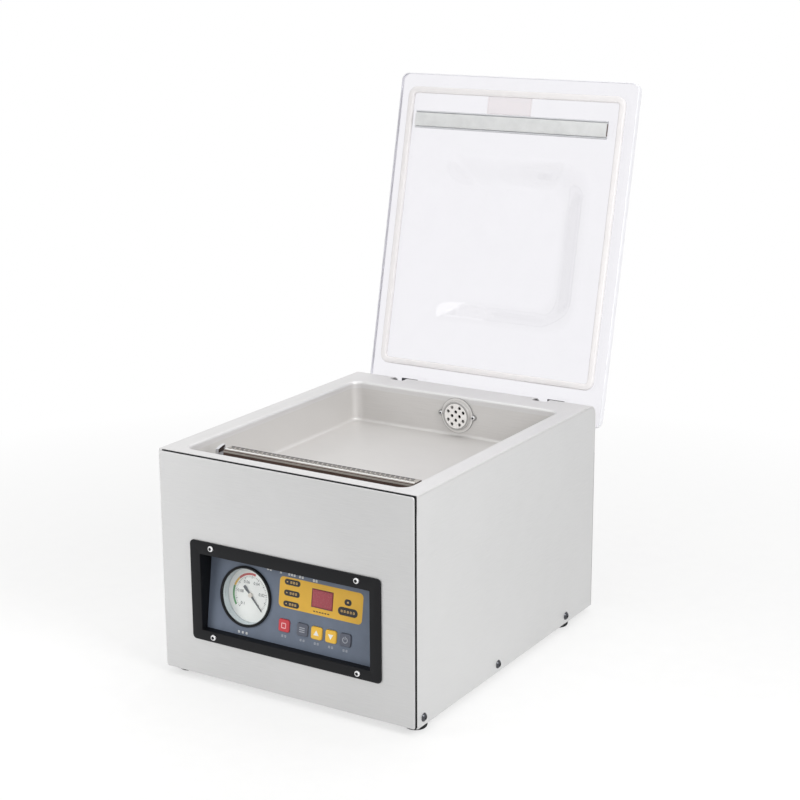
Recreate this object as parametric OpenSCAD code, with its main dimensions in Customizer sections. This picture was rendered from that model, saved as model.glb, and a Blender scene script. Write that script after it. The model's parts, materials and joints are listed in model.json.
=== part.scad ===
// Tabletop chamber vacuum sealer, lid open at rest.
// Origin: middle of the four feet, on the surface they stand on. X right, Y back, Z up. Millimetres.

/* [Body] */
// Deck on each side of the chamber
rim_side = 23; // [18:0.5:45]
// Deck between the front face and the chamber
rim_front = 20; // [19:0.5:22]
// Deck between the chamber and the back face
rim_rear = 53; // [48:1:90]
// Height from the underside of the base to the deck
body_h = 255; // [245:1:300]
// Thickness of the side, front, rear and base sheet
sheet_t = 1.2; // [1:0.1:1.5]
// Thickness of the deck and chamber sheet
deck_t = 1.5; // [1.2:0.1:1.8]
// Outer radius where the deck turns down the back
rear_bend_r = 14; // [12:1:16]
// Length of the deck's flange down the back
back_flange_h = 60; // [55:1:75]
// Fine gap at a sheet seam
seam = 0.3; // [0.2:0.05:0.4]

/* [Front panel] */
// Thickness of the front panel
front_t = 1.6; // [1.6:0.1:2.5]
// Thickness of the black frame between the front panel and the body
front_gap = 1.4; // [0.8:0.1:3]
// How far the front panel's sides sit inside the body's outline
front_inset = 1.8; // [0.5:0.1:2.5]
// Step from the deck down to the top of the front panel
front_drop = 1.5; // [0.5:0.1:2.5]
// Corner radius of the front panel
front_corner_r = 2.5; // [2.2:0.1:8]
// Radius of the front panel's rolled edge
front_bend_r = 1.5; // [0.8:0.1:1.5]
// How far the black frame sits inside the body's outline
frame_inset = 0.4; // [0:0.1:0.8]
// Width of the black frame's border
frame_border = 18; // [14:1:20]
// Outer radius of the side panels' front edge
side_bend_r = 2; // [1.4:0.1:2.2]

/* [Feet] */
// Radius of a foot
foot_r = 13; // [11:0.5:14]
// Height of a foot
foot_h = 8; // [7:1:20]
// Radius of the bore through a foot
foot_bore_r = 3.2; // [2.6:0.1:4]
// Radius of the hole in the base that a foot snaps into
foot_hole_r = 8; // [7.5:0.5:9]
// Foot centre from the side of the body
foot_inset_side = 15; // [15:1:30]
// Foot centre from the front face
foot_inset_front = 24; // [24:1:40]
// Foot centre from the back face
foot_inset_rear = 61; // [40:1:80]

/* [Body screws] */
// Radius of a domed screw head
dome_head_r = 5; // [4:0.5:6]
// Height of a domed screw head
dome_head_h = 3; // [2:0.5:3.5]
// Radius of the screws' threads
screw_r = 2; // [1.5:0.1:2.2]
// Clearance around a screw's thread
screw_clear = 0.2; // [0.15:0.05:0.4]
// Height of the side screws above the underside
side_screw_z = 9; // [8:0.5:12]
// First side screw from the front face
side_screw_front = 16; // [16:1:22]
// Middle side screw from the front face
side_screw_mid = 177; // [120:1:230]
// Last side screw from the front face
side_screw_rear = 345; // [300:1:360]
// Radius of a button screw head
button_head_r = 3.3; // [2.8:0.1:3.8]
// Height of a button screw head
button_head_h = 2; // [1.5:0.1:2.5]
// Height of the base plate's upturned edges
base_edge_h = 20; // [16:1:26]

/* [Chamber] */
// Width of the chamber
chamber_w = 284; // [270:1:300]
// Depth of the chamber, front to back
chamber_d = 341; // [330:1:370]
// Height of the chamber below the deck
chamber_h = 50; // [46:1:60]
// Corner radius of the chamber
chamber_r = 12; // [10:1:16]
// Radius between the chamber's walls and its floor
floor_r = 4; // [3:0.5:4]
// Outer radius of the rolled edge around the chamber
lip_r = 3; // [2.5:0.1:3.5]
// Height of the rolled edge around the chamber
lip_h = 8; // [6:1:10]

/* [Suction port] */
// Radius of the port cap
port_r = 22; // [18:0.5:22]
// Port centre below the deck
port_drop = 24; // [23:0.5:24]
// Port centre from the middle of the body
port_x = 6; // [0:1:20]
// Radius of the cap's raised disc
port_disc_r = 17.5; // [15.5:0.5:18]
// How far the cap's disc stands off the wall
port_disc_h = 5; // [4:0.5:8]
// Thickness of the cap
port_t = 1.5; // [1:0.1:2]
// Radius of a hole in the cap
port_hole_r = 2.1; // [1.5:0.1:2.4]
// Pitch of the holes along a row
port_pitch = 10.3; // [8:0.1:10.5]
// Pitch of the rows of holes
port_row = 5.2; // [4.8:0.1:6.2]
// Outer radius of the suction pipe and its hose
pipe_r = 9; // [8:0.5:10]
// Radius of the pipe's bore
pipe_bore_r = 6; // [4:0.5:6.5]

/* [Sealing bar] */
// Length of the sealing bar
bar_l = 245; // [200:1:248]
// Width of the sealing bar
bar_w = 17; // [14:0.5:20]
// Height of the sealing bar
bar_h = 20; // [18:0.5:22]
// Middle of the bar from the middle of the body
bar_x = 10.5; // [8:0.5:13]
// Middle of the bar and its pad from the front face
bar_y = 57; // [52:0.5:62]
// Top of the bar below the deck, at rest
bar_drop = 5.1; // [4.8:0.1:7]
// Thickness of the brown insulator
insulator_t = 6; // [5:0.5:8]
// Thickness of the non-stick tape
tape_t = 0.3; // [0.2:0.05:0.4]
// Width of the heating strip
heater_w = 5; // [3:0.5:8]
// Thickness of the heating strip
heater_t = 0.3; // [0.2:0.05:0.4]
// Distance between the two lift pistons
piston_pitch = 170; // [120:1:180]
// Outer radius of a lift cylinder
cylinder_r = 15; // [14.5:0.5:17]
// Wall of a lift cylinder
cylinder_wall = 2.5; // [2:0.1:3]
// Radius of a lift piston's rod
rod_r = 5; // [4:0.5:6]
// Thickness of a lift piston's head
piston_t = 4; // [3:0.5:5]
// Travel of the sealing bar
bar_travel = 3.5; // [2:0.1:3.5]
// Running clearance of a piston, pin or shaft
run_clear = 0.3; // [0.2:0.05:0.35]

/* [Lid] */
// How far the lid's sides stand in from the body's sides
lid_side = 0; // [0:0.5:4]
// How far the lid's back edge stops short of the back face
lid_short = 3; // [0:0.5:6]
// Thickness of the lid
lid_t = 9; // [8:0.5:12]
// Corner radius of the lid
lid_r = 10; // [6:1:16]
// How far the closed lid reaches past the front face
lid_over = 3; // [0:0.5:6]
// Gap between the deck and the closed lid
lid_gap = 4; // [3.5:0.1:4.4]
// Lean of the open lid behind upright, in degrees
lid_lean = 12.5; // [5:0.5:14]
// Width of the dome where it leaves the lid
dome_w = 250; // [200:1:260]
// Depth of the dome where it leaves the lid
dome_d = 239; // [180:1:240]
// Height of the dome above the lid
dome_h = 29; // [20:1:40]
// Width of the dome's flat top
dome_top_w = 130; // [90:1:160]
// Depth of the dome's flat top
dome_top_d = 135; // [90:1:160]
// Middle of the dome behind the middle of the chamber
dome_back = 8; // [0:1:9]
// Middle of the dome's flat top behind the middle of its foot
dome_top_back = 7; // [0:1:12]
// Corner radius of the dome's foot
dome_r = 42; // [30:1:60]
// Corner radius of the dome's flat top
dome_top_r = 26; // [15:1:40]
// Thickness of the dome's wall
dome_t = 6; // [5:0.5:8]
// Width of the gasket
gasket_w = 8; // [6:0.5:9]
// Depth of the groove that holds the gasket
groove_h = 2; // [1.5:0.1:3]
// Gasket's centre line outside the chamber's sides
gasket_side = 8.7; // [7:0.1:10]
// Gasket's centre line outside the chamber's ends
gasket_end = 6; // [5.5:0.1:6.5]
// Gap under the gasket of the closed lid
gasket_clear = 0.3; // [0.2:0.05:0.5]

/* [Lid pad] */
// Length of the pad
pad_l = 267; // [255:1:268]
// Width of the pad's channel
pad_w = 22; // [20:0.5:24]
// Width of the silicone strip
pad_strip_w = 17; // [14:0.5:17.5]
// Middle of the pad from the middle of the body
pad_x = -3; // [-4:0.5:0]
// Middle of the pad in front of the middle of the bar
pad_forward = 2; // [0:0.5:3]
// Depth of the pad's channel
pad_channel_h = 3.2; // [2.8:0.1:3.4]
// Thickness of the channel's web
pad_web = 1; // [0.8:0.1:1.4]
// How far the pad stands off the lid
pad_h = 5.2; // [4.6:0.1:5.2]

/* [Hinge] */
// Hinge pin in front of the back face
pivot_front = 11.4; // [11.4:0.1:14]
// Hinge pin below the deck
pivot_drop = 21.1; // [21:0.1:24]
// Radius of a hinge pin
pin_r = 4; // [3:0.5:4.5]
// Clearance around a hinge pin
pin_clear = 0.15; // [0.1:0.05:0.3]
// Middle of a hinge arm from the middle of the body
arm_x = 104; // [96:1:108]
// Width of a hinge arm
arm_w = 8; // [6:0.5:9]
// Depth of a hinge arm
arm_d = 13; // [10:0.5:13]
// Radius of the eye around the pin
eye_r = 8; // [7:0.5:8.5]
// Width of a hinge leaf
leaf_w = 22; // [18:0.5:24]
// Length of a hinge leaf in front of the pin
leaf_front = 19; // [16:0.5:19]
// Length of a hinge leaf behind the pin
leaf_back = 6; // [5:0.5:7]
// Thickness of a hinge leaf
leaf_t = 2.5; // [2:0.1:2.6]
// Width of a slot in the deck
slot_w = 19; // [16:0.5:20]
// Slot in front of the hinge pin
slot_front = 11.5; // [10:0.5:12]
// Clearance of the arm on its stop
stop_clear = 0.3; // [0.2:0.05:0.5]
// Thickness of a bracket's ears
ear_t = 2; // [1.5:0.1:2.5]
// Length of the lift spring's coil
coil_l = 30; // [24:1:32]
// Middle radius of the lift spring's coil
coil_r = 7.3; // [6.5:0.1:7.5]
// Radius of the lift spring's wire
wire_r = 1.4; // [1:0.1:1.6]
// Radius of a lid screw
lid_screw_r = 2.4; // [2:0.1:2.6]
// Radius of a lid screw's head
lid_head_r = 4.5; // [4:0.5:5]
// Height of a lid screw's head
lid_head_h = 3; // [2:0.5:4]

/* [Control panel] */
// Width of the panel's black frame
bezel_w = 247; // [240:1:260]
// Height of the panel's black frame
bezel_h = 116; // [112:1:124]
// How far the black frame stands off the front panel
bezel_t = 2; // [1.5:0.1:3]
// Corner radius of the black frame
bezel_r = 5; // [3:0.5:8]
// Underside of the black frame above the underside of the body
bezel_z = 42.8; // [40:0.2:44]
// Width of the window in the black frame
window_w = 220; // [216:1:224]
// Height of the window in the black frame
window_h = 89; // [86:0.5:92]
// Underside of the window above the underside of the body
window_z = 55.1; // [54:0.1:57]
// Wall around the window
tunnel_t = 2; // [1.5:0.1:3]
// Depth of the wall around the window
tunnel_d = 26; // [25:0.5:34]
// Depth of the plate at the window's lower edge
plate_depth = 6.9; // [5:0.1:8]
// Slope of the plate, in degrees
plate_tilt = 8.4; // [0:0.1:8.6]
// Thickness of the plate
plate_t = 2; // [1.5:0.1:2.5]
// Clearance around what is let into the panel
fit_clear = 0.3; // [0.2:0.05:0.4]
// Screws of the black frame from the middle
bezel_screw_x = 94.5; // [80:0.5:105]
// Screws of the black frame inside its edge
bezel_screw_inset = 6.2; // [4.5:0.1:7]

/* [Gauge] */
// Middle of the gauge from the middle of the body
gauge_x = -59.9; // [-62:0.1:-56]
// Middle of the gauge up the plate
gauge_v = 44.2; // [42:0.1:48]
// Radius of the gauge's black ring
gauge_r = 34; // [32:0.5:35]
// Width of the gauge's black ring
gauge_ring_w = 2.9; // [2.6:0.1:4]
// How far the ring stands off the plate
gauge_ring_h = 2.5; // [2:0.1:4]
// Depth of the dial behind the front of the ring
dial_depth = 12; // [9:0.5:14]
// Thickness of the dial
dial_t = 0.8; // [0.5:0.1:1.2]
// Depth of the gauge's case behind the plate
case_d = 26; // [24:1:32]
// Wall of the gauge's case
case_t = 1.2; // [1:0.1:1.6]
// Length of the needle's point
needle_l = 19; // [15:0.5:22]
// Length of the needle's tail
needle_tail = 13; // [6:0.5:15]
// Direction of the needle at rest, in degrees
needle_angle = -45; // [-60:1:-40]

/* [Display and keys] */
// Width of the display window
display_w = 26.6; // [22:0.2:30]
// Height of the display window
display_h = 19.6; // [14:0.2:21]
// Middle of the display from the middle of the body
display_x = 39.4; // [30:0.2:44]
// Middle of the display up the plate
display_v = 59.8; // [54:0.2:62]
// How far the display window stands off the plate
display_stand = 0.4; // [0.2:0.1:1]
// Side of a key
key_s = 14; // [11:0.5:14.5]
// Corner radius of a key
key_r = 2.5; // [1:0.5:4]
// How far a key stands off the plate
key_h = 1.6; // [1:0.1:2.5]
// Middle of the keys up the plate
key_v = 22.4; // [20:0.2:26]
// Middle of the first key from the middle of the body
key_x = -7; // [-8:0.5:-4]
// From the first key to the second
key_first_pitch = 24; // [20:0.5:25]
// From one of the other keys to the next
key_pitch = 18.4; // [17.6:0.1:18.8]
// Travel of a key
key_travel = 0.8; // [0.4:0.1:1]

/* [Vacuum pump] */
// Length of the pump's block
pump_l = 90; // [80:1:100]
// Depth of the pump's block
pump_d = 110; // [90:1:116]
// Height of the pump's block
pump_h = 118; // [112:1:124]
// Height of the pump's rubber mounts
mount_h = 12; // [10:1:14]
// Radius of the motor
motor_r = 54; // [48:1:55]
// Length of the motor
motor_l = 146; // [120:1:150]
// Radius of the shaft
shaft_r = 7; // [6:0.5:8]
// Pump's shaft behind the front face
pump_y = 270; // [240:1:280]
// From the body's left side to the pump's block
pump_side = 15; // [13:1:20]
// Height of the oil mist filter
filter_h = 38; // [30:1:40]

/* [Hidden] */
$fn = 64;
EPS = 0.02;

STEEL = "#c9cacc";
BRIGHT = "#dfe0e2";
BLACK = "#1c1c1e";
CLEAR = [0.85, 0.9, 0.95, 0.35];
BROWN = "#4a2f1f";
SLATE = "#5f6f86";
YELLOW = "#dba520";
RED = "#c03038";
GREY = "#44484e";
CAST = "#8b8f94";

// Main planes
body_w = chamber_w + 2 * rim_side;
body_d = rim_front + chamber_d + rim_rear;
foot_x = body_w / 2 - foot_inset_side;
foot_y = (body_d - foot_inset_front - foot_inset_rear) / 2;
y_front = -foot_y - foot_inset_front;
y_back = y_front + body_d;
y_body = y_front + front_t + front_gap;
z_base = foot_h;
z_floor = z_base + sheet_t;
z_deck = z_base + body_h;
side_top = z_deck - deck_t - seam;
side_back = y_back - deck_t - seam;
back_flange_z = z_deck - back_flange_h;

// Chamber
ch_y0 = y_front + rim_front;
ch_y1 = ch_y0 + chamber_d;
ch_y = (ch_y0 + ch_y1) / 2;
ch_floor = z_deck - chamber_h;
port_y = ch_y1;
port_z = z_deck - port_drop;
port_wall_r = 10;
pipe_back = 18;
port_screw_r = port_r + 0.5;
port_screw_angles = [178, 0];
elbow_drop = 24;

// Sealing bar
bar_x0 = bar_x - bar_l / 2;
bar_top = z_deck - bar_drop;
bar_under = bar_top - bar_h;
bar_yc = y_front + bar_y;
pad_yc = bar_yc - pad_forward;
piston_xs = [bar_x - piston_pitch / 2, bar_x + piston_pitch / 2];
bore_r = cylinder_r - cylinder_wall;
head_z = ch_floor + cylinder_wall + run_clear;
spring_wire = 0.7;
spring_turns = 3;
spring_room = bar_travel + 2 * spring_wire * (spring_turns + 0.5) + run_clear;
cap_z = head_z + piston_t + spring_room;
cylinder_h = cap_z + cylinder_wall - ch_floor;
spigot_r = 3;
spigot_l = 8;

// Lid, drawn closed and then swung open about the hinge pins
pivot_y = y_back - pivot_front;
pivot_z = z_deck - pivot_drop;
open_angle = 90 + lid_lean;
lid_w = body_w - 2 * lid_side;
lid_d = body_d + lid_over - lid_short;
lid_z = z_deck + lid_gap;
lid_y0 = y_front - lid_over;
lid_y = lid_y0 + lid_d / 2;
gasket_l = chamber_d + 2 * gasket_end;
gasket_span = chamber_w + 2 * gasket_side;
gasket_r = chamber_r;
dome_y = ch_y + dome_back;
dome_steps = 12;
leaf_x0 = arm_x - leaf_w / 2;
slot_x0 = arm_x + arm_w / 2 + 2 - slot_w;
// The arm leans on the lower edge of its slot: its lower side crosses the back sheet's faces here
arm_lower = arm_d / 2;
slot_z = pivot_z - pivot_front * tan(lid_lean) - arm_lower / cos(lid_lean) - stop_clear;
bracket_t = 3;
bracket_front = 37;
bracket_back = slot_front + 3;
ear_xs = [
    arm_x - arm_w / 2 - seam - coil_l - 2 * seam - 2 * ear_t - 2,
    arm_x - arm_w / 2 - seam - ear_t - 2,
    arm_x + arm_w / 2 + seam
];
coil_x0 = ear_xs[0] + ear_t + seam + wire_r;
coil_turns = 7;
lid_screw_dx = 6.8;
lid_screw_front = 12.8;

// Control panel. On the plate, x runs across, v up the slope from its lower edge, w out of its face
bezel_zc = z_base + bezel_z + bezel_h / 2;
window_z0 = z_base + window_z;
window_zc = window_z0 + window_h / 2;
plate_w = window_w - 2 * fit_clear;
plate_h = (window_h - 2 * fit_clear) / cos(plate_tilt) - plate_t * tan(plate_tilt);
rail_w = 3.5;
rail_t = 3;
case_r = gauge_r - 1.7;
lens_r = case_r - case_t / 2;
dial_w = gauge_ring_h - dial_depth;
key_xs = [for (i = [0:4]) key_x + (i > 0 ? key_first_pitch : 0) + max(i - 1, 0) * key_pitch];
key_flange = 1;
key_lip = 1;
stem_r = 2.5;
stem_end = -plate_t - fit_clear - key_flange - 2.5;
board_w = -12;
board_t = 1.6;
switch_top = stem_end - key_travel - fit_clear;
board_x0 = gauge_x + case_r + 3;
board_x1 = window_w / 2 - rail_w - 2;
board_v0 = 10;
board_v1 = plate_h - 6;
post_r = 3;

// Pump unit
pump_x = pump_side - body_w / 2;
pump_yc = y_front + pump_y;
plate_z = z_floor + mount_h;
pump_plate_t = 3;
pump_z = plate_z + pump_plate_t;
axis_z = pump_z + motor_r + 3;
motor_x = pump_x + pump_l + 3;
motor_x1 = motor_x + motor_l;
housing_t = 8;
end_t = 6;
stator_gap = 0.6;
core_r = 28;
fan_x = motor_x1 + 4;
fan_r = motor_r - 6;
fan_t = 12;
cover_l = 20;
mount_r = 9;
mount_dx = 16;
mount_dy = 38;

// ---- helpers ----

module rounded_rect(w, d, r) {
    square([w - 2 * r, d], center = true);
    square([w, d - 2 * r], center = true);
    for (x = [-1, 1], y = [-1, 1]) translate([x * (w / 2 - r), y * (d / 2 - r)]) circle(r);
}

module rounded_box(w, d, h, r) {
    linear_extrude(h) rounded_rect(w, d, r);
}

module centred_box(w, d, h) {
    translate([-w / 2, -d / 2, 0]) cube([w, d, h]);
}

// A cylinder along +X or +Y that starts at the origin
module rod_x(r, l) {
    rotate([0, 90, 0]) cylinder(r = r, h = l);
}

module rod_y(r, l) {
    rotate([-90, 0, 0]) cylinder(r = r, h = l);
}

module both_sides() {
    for (s = [0, 1]) mirror([s, 0, 0]) children();
}

// A round tube swept along a path. ref is a direction that the path never follows
function unit(v) = v / norm(v);
function tangent(p, i) = unit(p[min(i + 1, len(p) - 1)] - p[max(i - 1, 0)]);
function ring(c, t, r, n, ref) =
    let (u = unit(cross(t, ref)), v = cross(t, u))
    [for (k = [0:n - 1]) c + r * (u * cos(360 * k / n) + v * sin(360 * k / n))];

module sweep(path, r, ref, n = 8) {
    m = len(path);
    points = [for (i = [0:m - 1]) each ring(path[i], tangent(path, i), r, n, ref)];
    sides = [for (i = [0:m - 2], k = [0:n - 1])
        [i * n + k, (i + 1) * n + k, (i + 1) * n + (k + 1) % n, i * n + (k + 1) % n]];
    ends = [[for (k = [0:n - 1]) k], [for (k = [0:n - 1]) m * n - 1 - k]];
    polyhedron(points, concat(sides, ends), convexity = 8);
}

// A smooth curve through hand-set points, Catmull-Rom
function spline_at(a, b, c, d, t) =
    0.5 * ((2 * b) + (c - a) * t + (2 * a - 5 * b + 4 * c - d) * t * t
        + (3 * b - a - 3 * c + d) * t * t * t);
function spline(p, n) = [
    for (i = [0:len(p) - 2], k = [0:n - 1])
        spline_at(p[max(i - 1, 0)], p[i], p[i + 1], p[min(i + 2, len(p) - 1)], k / n),
    p[len(p) - 1]
];

// Points round a rounded rectangle, the same number at every size
function corner_points(w, d, r, q = 8) = [
    for (c = [[1, 1, 0], [-1, 1, 90], [-1, -1, 180], [1, -1, 270]], k = [0:q])
        let (a = c[2] + 90 * k / q)
        [c[0] * (w / 2 - r) + r * cos(a), c[1] * (d / 2 - r) + r * sin(a)]
];

// A dome whose wall is a smooth S from a wide foot to a small flat top
module dome(w0, d0, r0, w1, d1, r1, shift, h, foot) {
    n = len(corner_points(w0, d0, r0));
    levels = concat([[0, -foot]], [for (i = [0:dome_steps])
        let (u = i / dome_steps) [u, h * (1 - cos(180 * u)) / 2]]);
    m = len(levels);
    points = [for (l = levels) let (u = l[0])
        each [for (p = corner_points(w0 + (w1 - w0) * u, d0 + (d1 - d0) * u, r0 + (r1 - r0) * u))
            [p[0], p[1] + shift * u, l[1]]]];
    sides = [for (i = [0:m - 2], k = [0:n - 1])
        [i * n + k, (i + 1) * n + k, (i + 1) * n + (k + 1) % n, i * n + (k + 1) % n]];
    ends = [[for (k = [0:n - 1]) k], [for (k = [0:n - 1]) m * n - 1 - k]];
    polyhedron(points, concat(sides, ends), convexity = 4);
}

module domed_screw(shank) {
    // spherical cap on a short shank, head towards +Z
    ball_r = (dome_head_r * dome_head_r + dome_head_h * dome_head_h) / (2 * dome_head_h);
    difference() {
        intersection() {
            translate([0, 0, dome_head_h - ball_r]) sphere(ball_r);
            cylinder(r = dome_head_r, h = dome_head_h + 1);
        }
        translate([0, 0, dome_head_h - 1.2]) for (a = [0, 90]) rotate(a) centred_box(5, 1, 2);
    }
    translate([0, 0, -shank]) cylinder(r = screw_r, h = shank);
}

module button_screw(shank) {
    difference() {
        cylinder(r = button_head_r, h = button_head_h);
        translate([0, 0, button_head_h - 1.2]) cylinder(r = 1.2, h = 2, $fn = 6);
    }
    translate([0, 0, -shank]) cylinder(r = screw_r - 0.4, h = shank);
}

// Places children on the control plate: X across, Y up the slope, Z out of its face
module on_plate(x = 0, v = 0, w = 0) {
    translate([0, y_front + plate_depth, window_z0 + fit_clear])
        rotate([90 - plate_tilt, 0, 0])
            translate([x, v, w]) children();
}

// Swings children, drawn on the closed lid, to the open rest position
module lid_open() {
    translate([0, pivot_y, pivot_z]) rotate([-open_angle, 0, 0])
        translate([0, -pivot_y, -pivot_z]) children();
}

// ---- body ----

module deck_section() {
    // side view of the deck sheet: X is depth, Y is height
    c = [y_back - rear_bend_r, z_deck - rear_bend_r];
    translate([y_body, z_deck - deck_t]) square([c[0] - y_body, deck_t]);
    translate([y_body, z_deck - front_drop - frame_border])
        square([deck_t, frame_border + front_drop - deck_t + EPS]);
    translate(c) intersection() {
        difference() {
            circle(rear_bend_r);
            circle(rear_bend_r - deck_t);
        }
        square(rear_bend_r + 1);
    }
    translate([y_back - deck_t, back_flange_z]) square([deck_t, c[1] - back_flange_z]);
}

module lip_section() {
    // the rolled edge: X is outwards from the chamber wall, Y is height from the deck
    translate([lip_r, -lip_r]) intersection() {
        difference() {
            circle(lip_r);
            circle(lip_r - deck_t);
        }
        translate([-lip_r, 0]) square(lip_r);
    }
    translate([0, -lip_h]) square([deck_t, lip_h - lip_r]);
}

module lip() {
    straight_x = chamber_w - 2 * chamber_r;
    straight_y = chamber_d - 2 * chamber_r;
    for (a = [0:3]) {
        along = a % 2 == 0 ? straight_y : straight_x;
        out = a % 2 == 0 ? chamber_w / 2 : chamber_d / 2;
        rotate(90 * a) translate([out, along / 2, 0]) rotate([90, 0, 0])
            linear_extrude(along) lip_section();
        side = a % 2 == 0 ? [straight_x, straight_y] : [straight_y, straight_x];
        rotate(90 * a) translate([side[0] / 2, side[1] / 2, 0]) rotate_extrude(angle = 90)
            translate([chamber_r, 0]) lip_section();
    }
}

module top_deck() color(STEEL) {
    difference() {
        translate([-body_w / 2, 0, 0]) rotate([90, 0, 90]) linear_extrude(body_w) deck_section();
        translate([0, ch_y, z_deck - deck_t - 1])
            rounded_box(chamber_w + 2 * lip_r, chamber_d + 2 * lip_r, deck_t + 2, chamber_r + lip_r);
        both_sides() translate([slot_x0, pivot_y - slot_front, slot_z])
            cube([slot_w, body_d, z_deck - slot_z + 1]);
        for (x = [-1, 0, 1]) translate([x * rear_screw_x, y_back + 1, rear_screw_top])
            rotate([180, 0, 0]) rod_y(screw_r, deck_t + 2);
    }
    translate([0, ch_y, z_deck]) lip();
}

module pan_solid(w, d, r, fr, z0, z1) {
    // rounded tray shape: its lower edge has the radius fr
    hull() {
        for (x = [-1, 1], y = [-1, 1]) translate([x * (w / 2 - r), y * (d / 2 - r), z0 + fr])
            rotate_extrude($fn = 32) translate([r - fr, 0]) intersection() {
                circle(fr, $fn = 32);
                translate([0, -fr]) square([fr, fr]);
            }
        translate([0, 0, z1 - 1]) linear_extrude(1)
            for (x = [-1, 1], y = [-1, 1]) translate([x * (w / 2 - r), y * (d / 2 - r)])
                circle(r, $fn = 32);
    }
}

module chamber_pan() color(STEEL) {
    top = z_deck - lip_h;
    difference() {
        translate([0, ch_y, 0])
            pan_solid(chamber_w + 2 * deck_t, chamber_d + 2 * deck_t, chamber_r + deck_t,
                floor_r + deck_t, ch_floor - deck_t, top);
        translate([0, ch_y, 0])
            pan_solid(chamber_w, chamber_d, chamber_r, floor_r, ch_floor, top + 1 + EPS);
        translate([port_x, port_y - 1, port_z]) rod_y(port_wall_r, deck_t + 2);
        for (x = piston_xs) translate([x, bar_yc, ch_floor - deck_t - 1])
            cylinder(r = spigot_r + fit_clear, h = deck_t + 2);
        for (a = port_screw_angles) translate([port_x, port_y - 1, port_z])
            translate([port_screw_r * cos(a), 0, port_screw_r * sin(a)]) rod_y(screw_r, deck_t + 2);
    }
}

front_w = body_w - 2 * front_inset;
front_h = body_h - front_drop;

module front_slice(inset, depth, l) {
    translate([0, y_front + depth + l, z_base + front_h / 2]) rotate([90, 0, 0])
        linear_extrude(l) rounded_rect(front_w - 2 * inset, front_h - 2 * inset,
            front_corner_r - inset, $fn = 32);
}

module front_panel() color(BRIGHT) {
    difference() {
        hull() {
            for (a = [0:18:90])
                front_slice(front_bend_r * (1 - sin(a)), front_bend_r * (1 - cos(a)), 0.05);
            front_slice(0, front_t - 0.05, 0.05);
        }
        translate([0, y_front + front_t + 1, window_zc]) rotate([90, 0, 0])
            linear_extrude(front_t + 2) square([
                window_w + 2 * (tunnel_t + fit_clear), window_h + 2 * (tunnel_t + fit_clear)
            ], center = true);
        bezel_screw_places() translate([0, 0, -bezel_t - front_t - 1])
            cylinder(r = screw_r, h = front_t + 2);
    }
}

module front_frame() color(BLACK) {
    h = body_h - 2 * frame_inset;
    translate([0, y_body, z_base + frame_inset + h / 2]) rotate([90, 0, 0])
        linear_extrude(front_gap) difference() {
            rounded_rect(body_w - 2 * frame_inset, h, front_corner_r - frame_inset);
            square([body_w - 2 * frame_border, h - 2 * frame_border], center = true);
        }
}

side_screw_ys = [for (y = [side_screw_front, side_screw_mid, side_screw_rear]) y_front + y];
rear_screw_x = body_w / 2 - 12;
rear_screw_top = back_flange_z + 8;
rear_screw_low = z_base + side_screw_z;

module side_panel() {
    // drawn on the right
    r = rear_bend_r - deck_t - seam;
    y0 = y_body + deck_t + seam;
    difference() {
        union() {
            translate([body_w / 2 - sheet_t, 0, 0]) rotate([90, 0, 90]) linear_extrude(sheet_t) {
                translate([y_body, z_base]) square([side_back - y_body, fold_top - z_base]);
                translate([y0, z_base]) square([side_back - y0, side_top - z_base - r]);
                translate([y0, z_base]) square([side_back - y0 - r, side_top - z_base]);
                translate([side_back - r, side_top - r]) circle(r);
            }
            translate([body_w / 2 - side_fold, y_body, z_base])
                cube([side_fold - EPS, sheet_t, fold_top - z_base]);
        }
        for (y = side_screw_ys) translate([body_w / 2 - sheet_t - 1, y, z_base + side_screw_z])
            rod_x(screw_r + screw_clear, sheet_t + 2);
        // the rolled front edge
        translate([body_w / 2 - side_bend_r, y_body + side_bend_r, z_base - 1])
            linear_extrude(fold_top - z_base + 1) difference() {
                translate([0, -side_bend_r - 1]) square(side_bend_r + 1);
                circle(side_bend_r);
            }
    }
}
side_fold = 12;
fold_top = z_deck - front_drop - frame_border - seam;

module right_side_panel() color(STEEL) side_panel();
module left_side_panel() color(STEEL) mirror([1, 0, 0]) side_panel();

inlet_side = 47;
inlet_x = inlet_side - body_w / 2;
inlet_z = z_base + 34;
inlet_w = 27;
inlet_h = 19.4;
inlet_screw = 20;
fuse_x = inlet_x + 42;
fuse_r = 6.2;
louvre_w = 44;
louvre_h = 4;
louvre_pitch = 9;
vent_r = 3;

module louvres(x, n) {
    for (i = [0:n - 1]) translate([x, y_back - sheet_t - 1, z_base + 70 + i * louvre_pitch])
        cube([louvre_w, sheet_t + 2, louvre_h]);
}

module rear_panel() color(STEEL) {
    top = back_flange_z - seam;
    difference() {
        translate([-body_w / 2, y_back - sheet_t, z_base]) cube([body_w, sheet_t, top - z_base]);
        louvres(-120, 10);
        louvres(-120 + louvre_w + 12, 10);
        louvres(30, 10);
        louvres(30 + louvre_w + 12, 10);
        translate([inlet_x, y_back + 1, inlet_z]) rotate([90, 0, 0])
            linear_extrude(sheet_t + 2) rounded_rect(inlet_w + 2 * fit_clear, inlet_h + 2 * fit_clear, 2);
        for (s = [-1, 1]) translate([inlet_x + s * inlet_screw, y_back - sheet_t - 1, inlet_z])
            rod_y(screw_r, sheet_t + 2);
        translate([fuse_x, y_back - sheet_t - 1, inlet_z]) rod_y(fuse_r + fit_clear, sheet_t + 2);
        for (x = [-1, 0, 1]) translate([x * rear_screw_x, y_back - sheet_t - 1, rear_screw_low])
            rod_y(screw_r, sheet_t + 2);
    }
}

base_w = body_w - 2 * sheet_t;
base_y0 = y_body + sheet_t;
base_y1 = y_back - sheet_t;

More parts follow.
